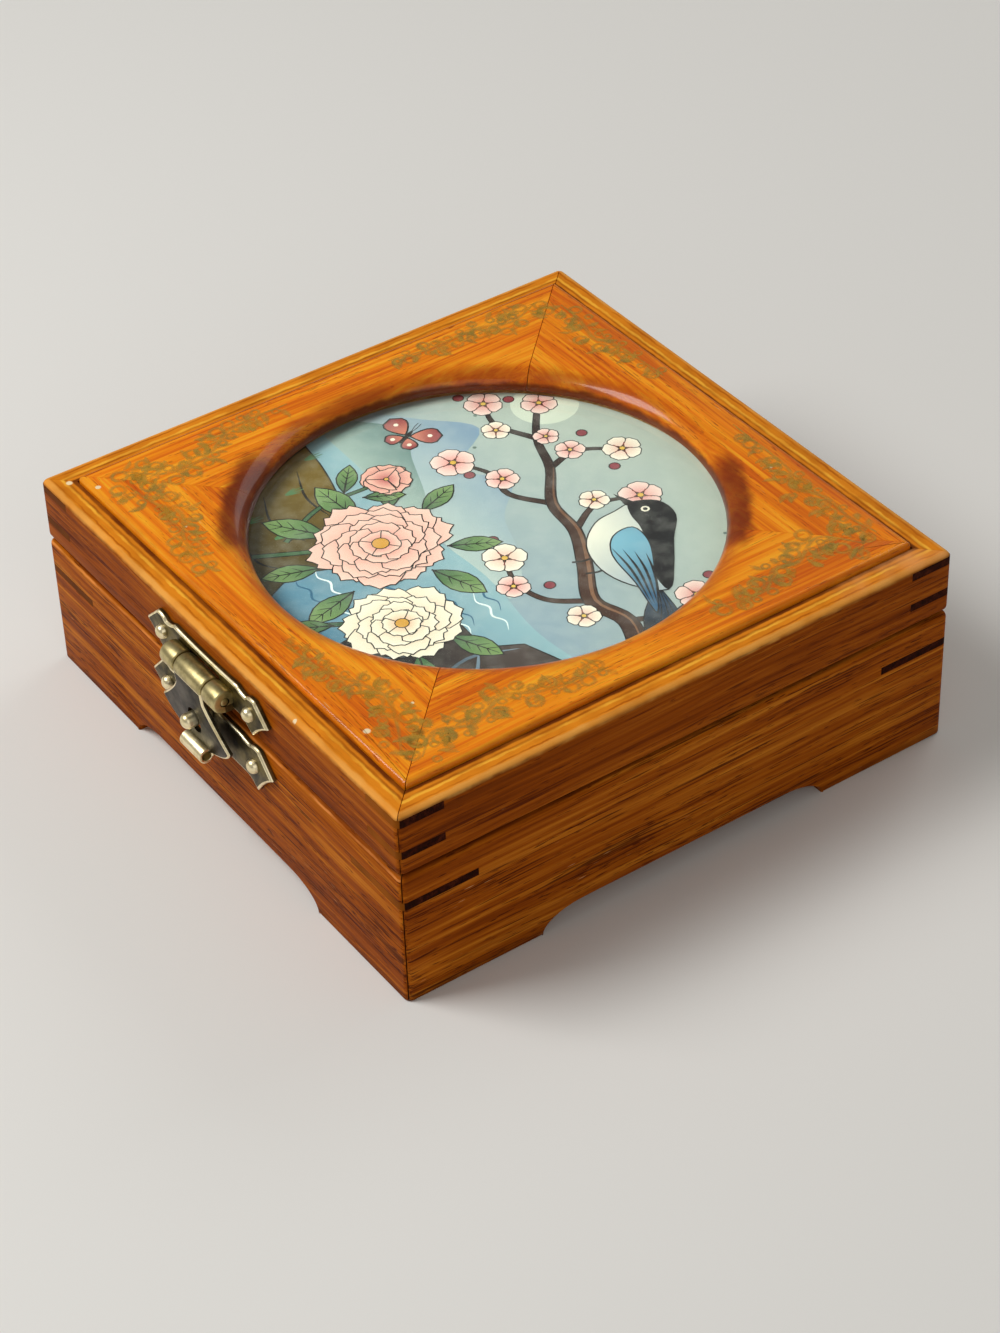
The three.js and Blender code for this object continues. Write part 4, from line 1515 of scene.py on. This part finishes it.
@dataclass
class Picture(SubAssembly):
    """The round picture behind its glass: a bird on a flowering bough over peonies and water."""

    print_radius: float = 43.3
    glass_ease: float = 0.4
    horizon: float = -8.0
    specks: Corners = ((-30.8, 18.7), (-22.5, 12.8), (25.5, 33.0))
    bough_line: Corners = (
        (44, 1), (35, 4.5), (27, 3), (18, 8), (9, 12.5), (0, 14), (-9, 20), (-18, 23.5), (-27, 30))
    twigs: tuple[Corners, ...] = (
        ((27, 3), (22, -3), (15, -4.5), (8, -2)), ((9, 12.5), (5, 20), (7.5, 28)),
        ((0, 14), (-7, 9.5), (-14, 10.5), (-21, 7)), ((-9, 20), (-10.5, 27), (-6, 34)),
        ((-18, 23.5), (-26, 20), (-33, 22)), ((35, 4.5), (38, 12), (36, 19)))
    blossoms: tuple[Sequence[float], ...] = (
        (8, -2, 4.2), (15.5, -5.4, 3.2), (7.5, 28, 4.2), (3.6, 20.6, 3.0), (-21, 7, 4.3),
        (-11.5, 11.2, 3.3), (-6, 34, 3.8), (-11.4, 26.2, 3.0), (-33, 22, 3.8), (-24.6, 19, 2.9),
        (-27, 30.4, 3.6), (36.4, 18.4, 4.0), (29.5, -0.6, 3.2), (-17.5, 25.2, 2.6))
    buds: Corners = (
        (2.4, -0.6), (-16, 7.2), (11, 24.4), (-2.4, 29.6), (-37.4, 19.4), (-31.4, 26.6),
        (19, -0.2), (33.2, 23.4), (-14.4, 31))
    leaves: tuple[Sequence[float], ...] = (
        (-16, -10, 150, 12), (-17, -16, 185, 13), (-16, -23, 215, 13), (-9, -29, 250, 11),
        (0, -28, 285, 12), (3, -14, 20, 12), (-1, -8, 60, 10), (-12, -6, 110, 10),
        (20, -22, 25, 11), (21, -29, -20, 11), (15, -36, -75, 9), (6, -36, 240, 9),
        (-25, -14, 140, 9), (-22, -12, 60, 8))

    def build(self) -> None:
        """Builds the glass, the print and its backing board."""
        low, high = self.layout.box("picture_glass")
        ease = self.glass_ease
        profile = [(0, low.z), (high.x - ease, low.z), (high.x, low.z + ease),
                   (high.x, high.z - ease), (high.x - ease, high.z), (0, high.z)]
        glass = turn_profile("picture_glass_disc", profile, 96)
        self.deliver(glass, "picture_glass", ["picture_glass"], [glass_material()])
        backing = self.layout.box("picture_backing")
        board = add_block("picture_backing_board", *backing)
        ease_edges(board, 0.15)
        self.deliver(board, "picture_board", ["picture_backing"], [
            BIRCH_PLY.material("pressed_card", Grain.ALONG_Y, 57, self.layout)])
        art = Painting(self.print_radius)
        self.landscape(art)
        self.bough(art)
        self.bird(art, Vector((20.0, 9.0)), 1.25)
        self.peonies(art)
        self.butterfly(art, Vector((-33.0, 5.0)), math.radians(25))
        for spot in self.specks:
            art.shape(arc(0.4, 0, 300, 5, spot), Wash("#56675f", "#6d7d72"), 0)
        printed = art.finish(backing[1].z + 0.04, low.z - 0.05)
        self.deliver(printed, "picture_board", [], [print_material()])

    def landscape(self, art: Painting) -> None:
        """Sky and mist, hills, water, an olive bank and a dark rock."""
        edge, level = self.print_radius, self.horizon
        art.shape(arc(edge, 0, 357, 119), Wash("#7d98a9", "#b4bcac", (0, -24), 46, QUARTER), 0)
        art.shape(arc(6.4, 0, 350, 35, (-26, 31)), Wash("#e6e4cc", "#d2d8c2", (-26, 31), 6.4), 0)
        far_hills = ((18, -5), (8, 1), (-2, 5), (-10, 12), (-19, 7), (-27, 17), (-36, 10), (-43, 4))
        near_hills = ((-6, -7), (-17, -2), (-27, 2), (-35, 6), (-43, 0))
        for hills, wash in (
                (far_hills, Wash("#b4c2b9", "#7f98ab", (0, -6), 22, QUARTER)),
                (near_hills, Wash("#a3b5a9", "#5d7d78", (0, -8), 14, QUARTER))):
            start, end = (Vector((hills[at][0], level)) for at in (0, -1))
            art.shape([start, *smooth_line(hills), end], wash, 0)
        shore = smooth_line(((42.5, -8), (28, -9.5), (10, -7.5), (-12, -9), (-28, -7.5),
                             (-42.7, -7)))
        art.shape([*shore, *arc(edge, 192, 348, 50)],
                  Wash("#93b3b6", "#4b7d94", (0, level), 30, -QUARTER), 0)
        draw = random.Random(11)
        for row in range(15):
            x, y = draw.uniform(-14, 34), level - 2.5 - 2.0 * row
            wave = smooth_line([(x + 2.4 * k, y + 0.5 * (-1) ** k) for k in range(6)], 4)
            art.brush(wave, 0.42, 0.2, Wash("#e6efe6" if row % 3 else "#2f6480"))
        bank = smooth_line(((-6, -42.9), (-10, -34), (-8, -27), (-15, -19), (-25, -15),
                            (-34, -12.5), (-41.8, -11.4)))
        art.shape([*bank, *arc(edge, 196, 261, 20)],
                  Wash("#765d15", "#45380c", (-34, -16), 32), 0.3)
        for fold in (((-36, -17), (-28, -20), (-20, -19.5)), ((-33, -26), (-25, -29), (-17, -27)),
                     ((-24, -36), (-17, -37), (-12, -34))):
            art.brush(smooth_line(fold), 0.5, 0.15)
        for x, y in ((-38, -14), (-31, -22.5), (-36, -28), (-21, -31), (-12, -39), (-28, -33)):
            for lean in (-0.5, -0.2, 0.15, 0.45):
                blade = curl(Vector((x, y)), QUARTER - lean, 4.2 - 3 * abs(lean), 0.12 * lean,
                             0.1 * lean, 5)
                art.stroke(blade, [0.5, 0.45, 0.4, 0.3, 0.2, 0.1], Wash("#2c4a2e", "#4f7a4a"))
        rock = [(37, -10.5), (29.5, -13), (26, -19), (19, -18.5), (13.5, -24), (15, -29.5),
                (10, -34.5)]
        art.shape([*arc(edge, 285, 346, 16), *map(Vector, rock)],
                  Wash("#51423a", "#120d0c", (30, -15), 20), 0.3)
        for crack in (((30, -14.5), (27, -23), (30, -33)), ((19.5, -19.5), (21, -28), (17, -37)),
                      ((37, -12), (38.5, -20), (36, -24)), ((26, -20), (31, -24), (33, -29))):
            art.brush(smooth_line(crack), 0.7, 0.1, Wash("#8296a3", "#54646e", crack[0]))

    def bough(self, art: Painting) -> None:
        """A dark old bough that crosses the sky, its twigs in flower."""
        bark = Wash("#4a2c1a", "#2c1810", (20, 6), 40)
        for twig in self.twigs:
            art.limb(twig, 1.1, 0.45, bark)
        art.limb(self.bough_line, 3.6, 0.8, bark)
        shine = smooth_line([(x + 0.2, y + 0.6) for x, y in self.bough_line[:-2]])
        art.brush(shine, 0.7, 0.2, Wash("#8a6244", "#6b452c", (30, 4), 40))
        for bud in self.buds:
            art.shape(arc(1.15, 0, 330, 11, bud), Wash("#b3434a", "#7a2a35", bud, 1.2), 0.22)
        for number, (x, y, radius) in enumerate(self.blossoms):
            deep, pale = ("#dc8176", "#f8ddcd") if number % 3 else ("#e8b59c", "#f8efd8")
            self.blossom(art, Vector((x, y)), radius, 0.7 * number, deep, pale)

    @staticmethod
    def blossom(art: Painting, centre: Vector, radius: float, turn: float, deep: str,
                pale: str) -> None:
        """A simple flower of five round petals.

        Args:
            art: The painting.
            centre: Its middle.
            radius: Its radius.
            turn: The direction of its first petal, in radians.
            deep: Its colour in the middle.
            pale: Its colour at the edge.
        """
        fifth = 2 * math.pi / 5
        for petal in range(5):
            outline = petal_outline(centre, turn + petal * fifth, radius * 0.1, radius * 0.92,
                                    radius, 0.9)
            art.shape(outline, Wash(deep, pale, centre, radius), 0.2)
        for stamen in range(5):
            ahead = towards(turn + (stamen + 0.5) * fifth, radius * 0.25)
            art.stroke([centre, centre + ahead, centre + ahead * 2], [0.14, 0.14, 0.34],
                       Wash("#8a3a2c", "#6b2a22", centre))
        art.shape(arc(radius * 0.17, 0, 315, 7, centre), Wash("#f0cf5a", "#d39a32", centre, 1),
                  0.12)

    def peonies(self, art: Painting) -> None:
        """Two full peonies and a bud among their leaves, on the bank."""
        stalk = Wash("#4f7347", "#34543a", (-10, -20), 24)
        art.limb(((-19, -37), (-14, -28), (-9, -18)), 1.0, 0.8, stalk)
        art.limb(((2, -42), (7, -34), (13, -27)), 1.0, 0.8, stalk)
        art.limb(((-19, -30), (-24, -20), (-24, -9)), 0.8, 0.6, stalk)
        for x, y, degrees, length in self.leaves:
            base, angle = Vector((x, y)), math.radians(degrees)
            art.shape(petal_outline(base, angle, 0, length, 0.46 * length, 0.1),
                      Wash("#2f5a3c", "#86a25c", base, length * 1.1), 0.26)
            vein = curl(base, angle, length * 0.9, 0.0, 0.0, 4)
            art.stroke(vein, [0.4, 0.34, 0.28, 0.2, 0.1])
            for share in (0.3, 0.5, 0.68):
                for side in (-1, 1):
                    start = base + towards(angle, length * share)
                    rib = curl(start, angle + side * 0.75, length * 0.2, -side * 0.05, 0.0, 2)
                    art.stroke(rib, [0.2, 0.17, 0.08])
        self.peony(art, Vector((-24, -5.5)), 4.6, "#b8474b", "#efb6a0", (5, 3), 5)
        self.peony(art, Vector((12.5, -26.5)), 10.5, "#dfa06f", "#f7edd2", (9, 8, 7, 5), 3)
        self.peony(art, Vector((-8.5, -17.0)), 13.0, "#cf5c4f", "#f4c9b4", (10, 9, 8, 6, 4), 4)

    @staticmethod
    def peony(art: Painting, centre: Vector, radius: float, deep: str, pale: str,
              rings: Sequence[int], seed: int) -> None:
        """A full flower of several rings of ruffled petals.

        Args:
            art: The painting.
            centre: Its middle.
            radius: Its radius.
            deep: Its colour towards the middle.
            pale: Its colour at the petals' edges.
            rings: How many petals each ring has, the outermost first.
            seed: Varies the petals.
        """
        draw = random.Random(seed)
        for ring, count in enumerate(rings):
            share = 1 - ring / (len(rings) + 0.6)
            for petal in range(count):
                angle = 2 * math.pi * (petal + 0.5 * ring) / count + draw.uniform(-0.1, 0.1)
                length = radius * share * draw.uniform(0.9, 1.05)
                outline = ruffled_petal(centre, angle, length, 7.2 * length / count,
                                        draw.uniform(0.03, 0.06))
                art.shape(outline, Wash(deep, pale, centre, length), 0.22)
        heart = radius * 0.13
        art.shape(arc(heart, 0, 330, 11, centre), Wash("#f2d468", "#c98a2a", centre, heart), 0.2)

    @staticmethod
    def bird(art: Painting, feet: Vector, size: float) -> None:
        """A black-capped bird with blue wings that looks to the left, drawn from its feet."""

        def spots(corners: Corners, closed: bool = True) -> list[Vector]:
            """A smooth line through corners measured from the bird's feet."""
            return [feet + point * size for point in smooth_line(corners, 4, closed)]

        rump = feet + Vector((8, 4.5)) * size
        for number, degrees in enumerate((-20, -27, -34, -42)):
            art.shape(petal_outline(rump, math.radians(degrees), 0, (15 - number) * size, 3.2, 0.6),
                      Wash("#2c4c66", "#0f0d0e", rump, 13), 0.2)
        for x in (-2.2, 1.0):
            leg = spots(((x, 1.5), (x - 0.2, -0.4), (x - 0.9, -1.9)), False)
            art.stroke(leg, [0.5] * len(leg))
        back = ((-7.4, 16.4), (-3.2, 16.4), (1, 12.8), (6, 9), (10, 5))
        body = ((-9.4, 13), *back, (6, 1.4), (0.6, 0.2), (-5, 1.8), (-8.6, 6), (-9.2, 10))
        mantle = ((-9.5, 12.8), *back, (4.5, 6), (-0.5, 9), (-4, 10.6), (-7, 11.2))
        wing = ((-4.6, 9.8), (-0.4, 9.6), (5.4, 6.2), (13.4, 0.6), (6, 2.2), (-1, 3.4), (-4.6, 6.2))
        for outline, wash, line in (
                (body, Wash("#f6efd6", "#a9b4b4", (feet.x - 8, feet.y + 6), 16), 0.28),
                (mantle, Wash("#211a1a", "#0c0a0b", feet, 12), 0.1),
                (wing, Wash("#86bccb", "#2d5a78", (feet.x - 3, feet.y + 8), 15), 0.28)):
            art.shape(spots(outline), wash, line)
        for lift in (0.0, 1.3, 2.6, 3.9):
            art.brush(spots((
                (-2.4 + lift, 4.4 + 0.8 * lift), (3.4 + lift * 0.6, 3.6 + 0.55 * lift),
                (11 + lift * 0.2, 1.3 + 0.25 * lift)), False), 0.5, 0.1)
        beak = [feet + Vector(corner) * size
                for corner in ((-9.1, 13.5), (-9.1, 12), (-12.6, 12.2))]
        art.shape(beak, Wash("#3a2a24", "#17110f", feet), 0.1)
        for radius, code in ((0.85, "#f4ead0"), (0.45, "#120d0c")):
            eye = feet + Vector((-6.9, 13.7)) * size
            art.shape(arc(radius, 0, 315, 7, eye), Wash(code), 0)

    @staticmethod
    def butterfly(art: Painting, centre: Vector, turn: float) -> None:
        """A small crimson butterfly with black-edged wings."""
        for degrees, length, width in ((-50, 4.2, 3.4), (230, 4.2, 3.4), (30, 6.4, 5.0),
                                       (150, 6.4, 5.0)):
            angle = math.radians(degrees) + turn
            art.shape(petal_outline(centre, angle, 0.3, length, width, 0.95),
                      Wash("#e08a6a", "#8a2f3a", centre, length), 0.34)
            spot = centre + towards(angle, length * 0.66)
            art.shape(arc(0.5, 0, 300, 5, spot), Wash("#f4ead0"), 0)
        up = turn + QUARTER
        art.stroke([centre + towards(up, along) for along in (-2.6, -1, 0.6, 1.8)],
                   [0.3, 0.8, 0.9, 0.5])
        for lean in (-0.35, 0.35):
            feeler = curl(centre + towards(up, 1.6), up + lean, 3.0, -lean * 0.4, 0.0, 5)
            art.stroke(feeler, [0.16] * len(feeler))


@dataclass
class Brasswork(SubAssembly):
    """Brass fittings, drawn on the front of the box and then turned to their side of it."""

    turn: int = 0

    def box(self, node: str) -> tuple[Vector, Vector]:
        """A node's lowest and highest corner, once its side of the box faces the front."""
        low, high = self.layout.box(node)
        if self.turn == 0:
            return low, high
        return Vector((-high.x, -high.y, low.z)), Vector((-low.x, -low.y, high.z))

    def fit(self, piece: Piece, node: str, metals: Sequence[Material], body: str) -> None:
        """Delivers one of the fittings."""
        self.deliver(piece, "aged_brass", [node], metals, self.turn, body=body)

    def pin(self, node: str, ease: float, metal: Material, body: str) -> Vector:
        """Makes a pin and gives back its middle."""
        low, high = self.box(node)
        centre = (low + high) / 2
        pin = add_rod(f"{node}_brass", (high.z - low.z) / 2, low.x, high.x, centre.yz, 24)
        ease_edges(pin, ease)
        self.fit(pin, node, [metal], body)
        return centre

    def turned(self, node: str, profile: Corners, steps: int, metal: Material, body: str) -> None:
        """Makes a piece turned about an axis that points to the front."""
        low, high = self.box(node)
        piece = turn_profile(f"{node}_brass", profile, steps)
        apply_place(piece, rotation_euler=TOWARDS_FRONT,
                    location=((low.x + high.x) / 2, 0, (low.z + high.z) / 2))
        self.fit(piece, node, [metal], body)


@dataclass
class Latch(Brasswork):
    """The brass latch on the front: a plate with a hasp on the lid, a plate with a knob below."""

    plate_ease: float = 0.45
    notch: float = 0.5
    upper: Sequence[float] = (4.1, 4.0, 3.8, 1.85)
    lower: Sequence[float] = (4.7, 4.8, 4.8, 3.0)
    upper_above_middle: float = -0.4
    lower_middle: float = 22.3
    band: float = 1.3
    bore_gap: float = 0.08
    hasp_knuckle: float = 8.8
    hasp_thickness: float = 0.9
    hasp_length: float = 14.6
    hasp_half_width: float = 10.8
    hasp_shoulder: float = 2.6
    hasp_taper: float = 2.2
    hasp_foot: float = 0.6
    hasp_slope: float = 5.3
    running_gap: float = 0.3
    curl_radius: float = 1.5
    curl_wall: float = 0.55
    curl_length: float = 6.6
    knob_radius: float = 1.4
    knob_travel: float = 1.2

    def __post_init__(self) -> None:
        """Reads the latch's places from the frame."""
        low, high = self.box("latch_pin")
        self.axis = (low + high) / 2
        self.pin_radius = (high.z - low.z) / 2
        self.barrel_half = (high.x - low.x) / 2
        low, high = self.box("latch_plate")
        self.plate_half = (high.x - low.x) / 2
        self.barrel_radius = self.axis.y - low.y
        self.plate_back = high.y
        low, high = self.box("catch_plate")
        self.plate_thickness = high.y - low.y
        self.plate_face = self.plate_thickness - self.plate_back
        self.hasp_half = self.hasp_knuckle / 2

    def build(self) -> None:
        """Builds the latch."""
        # The aged brass faces carry painted dark reflection as well as tarnish; the pale brass on the rims,
        # knob, nail heads and curl is wear and painted highlight.
        self.old = PATINA_AND_PAINTED_REFLECTION_BRASS.material("aged_brass")
        self.rubbed = RUBBED_AND_PAINTED_HIGHLIGHT_BRASS.material("rubbed_brass")
        self.worn = WORN_BRASS.material("worn_brass")
        self.latch_plate()
        plate = self.plate("catch_plate_brass", self.lower, self.lower_middle)
        self.fit(plate, "catch_plate", [self.old, self.rubbed], "base")
        self.pin("latch_pin", 0.3, self.worn, "lid")
        self.hasp()
        self.knob()
        for name, body in (("latch", "lid"), ("catch", "base")):
            for hand in ("left", "right"):
                self.nail(f"{name}_nail_{hand}", body)

    def plate_outline(self, sizes: Sequence[float]) -> list[Vector]:
        """The outline of a plate: a bar with a pointed lobe at each end.

        Args:
            sizes: How far the lobes rise and drop, and how far the bar does.

        Returns:
            The outline about the plate's middle, anticlockwise.
        """
        rise, drop, waist, low_waist = sizes
        w, n = self.plate_half, self.notch
        right = quadratic((0.56 * w, -low_waist), [
            ((0.64 * w, -0.6 * drop), (0.74 * w, -drop)),
            ((0.84 * w, -0.35 * drop), (w, 0.1 * rise)),
            ((0.9 * w, 0.55 * rise), (0.8 * w, rise)),
            ((0.7 * w, rise + 0.4 * n), (0.66 * w, waist - n)),
            ((0.58 * w, waist - n), (0.52 * w, rise)),
            ((0.3 * w, waist), (0, waist))])
        return right + mirrored(right[:-1])

    def plate(self, name: str, sizes: Sequence[float], height: float) -> Piece:
        """One plate, standing on the front of the box with its middle at a height."""
        # The bevel round the face takes material index 1, the pale brass that is partly painted highlight.
        plate = raise_outline(name, self.plate_outline(sizes), self.plate_thickness,
                              self.plate_ease, 1)
        apply_place(plate, rotation_euler=TOWARDS_FRONT,
                    location=(self.axis.x, self.plate_back, height))
        return plate

    def latch_plate(self) -> None:
        """The upper plate with its band, window and two outer knuckles."""
        centre = self.axis.z + self.upper_above_middle
        plate = self.plate("latch_plate_brass", self.upper, centre)
        window = self.hasp_half + self.running_gap
        top = centre + self.upper[2] - self.band
        x, y, z = self.axis
        combine(plate, add_block("window", (x - window, y - 5, z - 9), (x + window, y + 5, top)))
        for side in (-1, 1):
            ends = sorted((x + side * window, x + side * self.barrel_half))
            web = add_block("web", (ends[0], y, z - self.barrel_radius),
                            (ends[1], self.plate_back - 0.1, z - self.pin_radius))
            combine(plate, web, "UNION")
            combine(plate, self.barrel(*ends), "UNION")
        combine(plate, self.bore())
        self.fit(plate, "latch_plate", [self.old, self.rubbed, self.worn], "lid")

    def barrel(self, low: float, high: float) -> Piece:
        """A rolled knuckle round the pin's axis, of worn metal, before it is bored."""
        knuckle = add_rod("knuckle", self.barrel_radius, low, high, self.axis.yz, 40)
        ease_edges(knuckle, 0.35, 3)
        colour_faces(knuckle, 2)
        return knuckle

    def bore(self) -> Piece:
        """The cutter for the hole that the pin lies in."""
        radius = self.pin_radius + self.bore_gap
        return add_rod("bore", radius, self.axis.x - 20, self.axis.x + 20, self.axis.yz, 28)

    def hasp(self) -> None:
        """The hasp: a flared plate with a rolled knuckle, a slot for the knob and a curled end."""
        knuckle, back = self.hasp_half, self.hasp_thickness - self.barrel_radius
        widest, foot = 0.66 * self.hasp_length, self.curl_length / 2 + self.hasp_foot
        bulge = self.hasp_half_width - self.hasp_foot
        right = quadratic((foot, -self.hasp_length), [
            ((foot, self.hasp_foot - self.hasp_length),),
            ((bulge, -widest - self.hasp_taper), (self.hasp_half_width, -widest)),
            ((knuckle * 1.25, -self.hasp_shoulder * 1.9), (knuckle, -self.hasp_shoulder)),
            ((knuckle, 0),)])
        # Its bevelled rims take index 1, the pale brass that is partly painted highlight.
        flat = raise_outline("hasp_brass", right + mirrored(right), self.hasp_thickness, 0.36, 1)
        apply_place(flat, rotation_euler=TOWARDS_FRONT, location=(0, back, 0))
        combine(flat, self.tail(back - self.curl_radius), "UNION")
        apply_place(flat, rotation_euler=(math.radians(self.hasp_slope), 0, 0), location=self.axis)
        combine(flat, self.barrel(self.axis.x - knuckle, self.axis.x + knuckle), "UNION")
        combine(flat, self.bore())
        combine(flat, self.knob_slot())
        # The hasp's near-black face is partly patina and partly painted dark reflection.
        dark = DARK_PATINA_AND_PAINTED_REFLECTION_BRASS.material("dark_patinated_brass")
        self.deliver(flat, "dark_brass", ["hasp"], [dark, self.rubbed, self.worn], body="hasp")

    def tail(self, depth: float) -> Piece:
        """The hasp's lower end, curled up from the sheet round an axis at some depth."""
        outside, inside = (arc(radius, 40, 350, 36)
                           for radius in (self.curl_radius, self.curl_radius - self.curl_wall))
        tail = raise_outline("tail", outside + inside[::-1], self.curl_length, 0.12)
        apply_place(tail, rotation_euler=(QUARTER, 0, QUARTER),
                    location=(-self.curl_length / 2, 0, 0))
        apply_place(tail, location=(0, depth, -self.hasp_length))
        # The curl is pale brass, partly painted highlight.
        colour_faces(tail, 1)
        return tail

    def knob_slot(self) -> Piece:
        """The cutter for the slot that the knob stands in."""
        low, high = self.box("catch_knob")
        middle_height = (low.z + high.z) / 2
        half_width = self.knob_radius + self.running_gap + 0.15
        above = middle_height + self.running_gap
        below = middle_height - self.knob_travel
        ends = arc(half_width, 180, 360, 14, (0, below)) + arc(half_width, 0, 180, 14, (0, above))
        slot = raise_outline("slot", ends, 20, 0.01)
        apply_place(slot, rotation_euler=TOWARDS_FRONT, location=(self.axis.x, self.plate_back, 0))
        return slot

    def knob(self) -> None:
        """The turned knob that the hasp snaps over."""
        low, high = self.box("catch_knob")
        front, back, seat = -low.y, -high.y, self.plate_face + 0.02
        r, neck = self.knob_radius, seat + 2.4
        rings = [(0.6, 0), (0.95, 0), (1, 0.2), (1, 0.75), (0.9, 0.95), (0.72, 1.2), (0.7, 1.7),
                 (0.86, 2.1), (1, 2.4)]
        profile = [(0, back), (r * 0.6, back), *((r * share, seat + up) for share, up in rings),
                   (r, neck + (front - neck) * 0.2), *dome(r, front - 1.1, 1.1, 6), (0, front)]
        self.turned("catch_knob", profile, 36, self.rubbed, "base")

    def nail(self, node: str, body: str) -> None:
        """A round-headed nail through a plate."""
        low, high = self.box(node)
        radius, front, seat = (high.x - low.x) / 2, -low.y, self.plate_face + 0.01
        rise = front - seat
        profile = [(0, -high.y), (radius * 0.3, 0.8 - high.y), (radius * 0.36, seat),
                   (radius, seat), (radius, seat + rise * 0.14),
                   *dome(radius * 0.97, seat + rise * 0.22, rise * 0.78, 7), (0, front)]
        self.turned(node, profile, 28, self.rubbed, body)


@dataclass
class Hinges(Brasswork):
    """The two butt hinges on the back."""

    turn: int = 2
    leaf_ease: float = 0.2
    leaf_thickness: float = 0.8
    gap: float = 0.3
    knuckle_length: float = 5.0

    def build(self) -> None:
        """Builds both hinges."""
        # The hinge brass is darkened in part as painted dark reflection, and the pale brass of its pins and
        # nail heads is in part painted highlight.
        self.metal = PATINA_AND_PAINTED_REFLECTION_BRASS.material("aged_hinge_brass")
        self.rubbed = RUBBED_AND_PAINTED_HIGHLIGHT_BRASS.material("rubbed_hinge_brass")
        for number in (1, 2):
            axis = self.pin(f"hinge_{number}_pin", 0.2, self.rubbed, "base")
            for body in ("base", "lid"):
                self.leaf(f"hinge_{number}_{body}_leaf", axis, body)
                for nail in (1, 2):
                    self.nail(f"hinge_{number}_{body}_nail_{nail}", body)

    def leaf(self, node: str, axis: Vector, body: str) -> None:
        """One leaf with its knuckles. The lid's has the middle one.

        Args:
            node: The node that it stands for.
            axis: The middle of the pin.
            body: The body that it rides on.
        """
        low, high = self.box(node)
        radius, skin = axis.y - low.y, high.y - self.leaf_thickness
        reach, mid = (high.x - low.x) / 2, self.knuckle_length / 2
        if body == "lid":
            start, end, spans = axis.z + radius + self.gap, high.z, [(-mid, mid)]
        else:
            start, end = axis.z - radius - self.gap, low.z
            spans = [(-reach, -mid - self.gap), (mid + self.gap, reach)]
        leaf = add_block(f"{node}_brass", (low.x, skin, min(start, end)),
                         (high.x, high.y, max(start, end)))
        ease_edges(leaf, self.leaf_ease)
        for span in spans:
            near, far = (axis.x + along for along in span)
            knuckle = add_rod("knuckle", radius, near, far, axis.yz, 32)
            ease_edges(knuckle, 0.18)
            web = add_block("web", (near, skin, min(axis.z, start)),
                            (far, high.y, max(axis.z, start)))
            combine(leaf, web, "UNION")
            combine(leaf, knuckle, "UNION")
            combine(leaf, add_rod("bore", radius * 0.5, axis.x - 20, axis.x + 20, axis.yz, 24))
        self.fit(leaf, node, [self.metal, self.rubbed], body)

    def nail(self, node: str, body: str) -> None:
        """A low-headed nail through a leaf."""
        low, high = self.box(node)
        radius, front = (high.x - low.x) / 2, -low.y
        seat = front - 0.66
        profile = [(0, -high.y), (radius * 0.3, 0.8 - high.y), (radius * 0.42, seat),
                   (radius, seat), *dome(radius, seat + 0.16, 0.5, 5), (0, front)]
        self.turned(node, profile, 24, self.rubbed, body)


@dataclass
class Studio:
    """A pale floor, soft lamps and a camera where the photograph was taken from."""

    place: tuple[float, float, float] = (0.39388, -0.25986, 0.38862)
    azimuth: float = 56.27
    elevation: float = 38.98
    roll: float = -2.17
    lens: float = 90.36
    pale: str = "#e9e7e2"

    def build(self) -> None:
        """Sets the stage."""
        self.camera()
        self.floor()
        self.world()
        self.lamp("key", (-0.3, -0.5, 0.68), 0.42, 5.4)
        self.lamp("fill", (0.75, -0.3, 0.45), 0.7, 1.2)
        self.lamp("back", (-0.2, 0.8, 0.6), 0.6, 1.8)

    def camera(self) -> None:
        """Places the camera."""
        around, tilt, roll = (Matrix.Rotation(math.radians(degrees), 3, axis) for degrees, axis in (
            (self.azimuth, "Z"), (90 - self.elevation, "X"), (self.roll, "Z")))
        bpy.ops.object.camera_add(location=self.place, rotation=(around @ tilt @ roll).to_euler())
        camera = new_piece("camera")
        camera.data.lens = self.lens
        camera.data.clip_start = 0.01
        bpy.context.scene.camera = camera

    def floor(self) -> None:
        """A wide floor of plain paper at the foot of the box, matt and nearly white."""
        bpy.ops.mesh.primitive_grid_add(x_subdivisions=4, y_subdivisions=4, size=6)
        floor = new_piece("floor")
        material, node = new_material("pale_paper")
        node("OutputMaterial", node("BsdfPrincipled", Base_Color=linear(self.pale), Roughness=0.9,
                                    Specular_IOR_Level=0.2))
        floor.data.materials.append(material)

    def world(self) -> None:
        """A pale surround of dim even light."""
        world = bpy.data.worlds.new("surround")
        bpy.context.scene.world = world
        world.use_nodes = True
        world.node_tree.nodes.clear()
        node = partial(add_node, world.node_tree)
        node("OutputWorld", node("Background", linear(self.pale), 0.25))

    def lamp(self, name: str, place: Sequence[float], size: float, power: float) -> None:
        """Adds a soft lamp that faces the box.

        Args:
            name: The lamp's name.
            place: Where it hangs, in metres.
            size: The side of its square face, in metres.
            power: Its power in watts.
        """
        facing = Vector(place).to_track_quat("Z", "Y").to_euler()
        bpy.ops.object.light_add(type="AREA", location=place, rotation=facing)
        lamp = new_piece(name).data
        lamp.shape = "SQUARE"
        lamp.size = size
        lamp.energy = power


def main() -> None:
    """Builds the box and its stage."""
    logging.basicConfig(level=logging.INFO, format="%(message)s")
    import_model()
    bpy.context.scene.view_settings.view_transform = "Standard"
    layout = Layout.measure()
    Studio().build()
    Base(layout, "base").build()
    Lid(layout, "lid").build()
    Picture(layout, "lid").build()
    ScrollWork(layout, "lid").build()
    Latch(layout, "lid").build()
    Hinges(layout, "base").build()


if __name__ == "__main__":
    main()
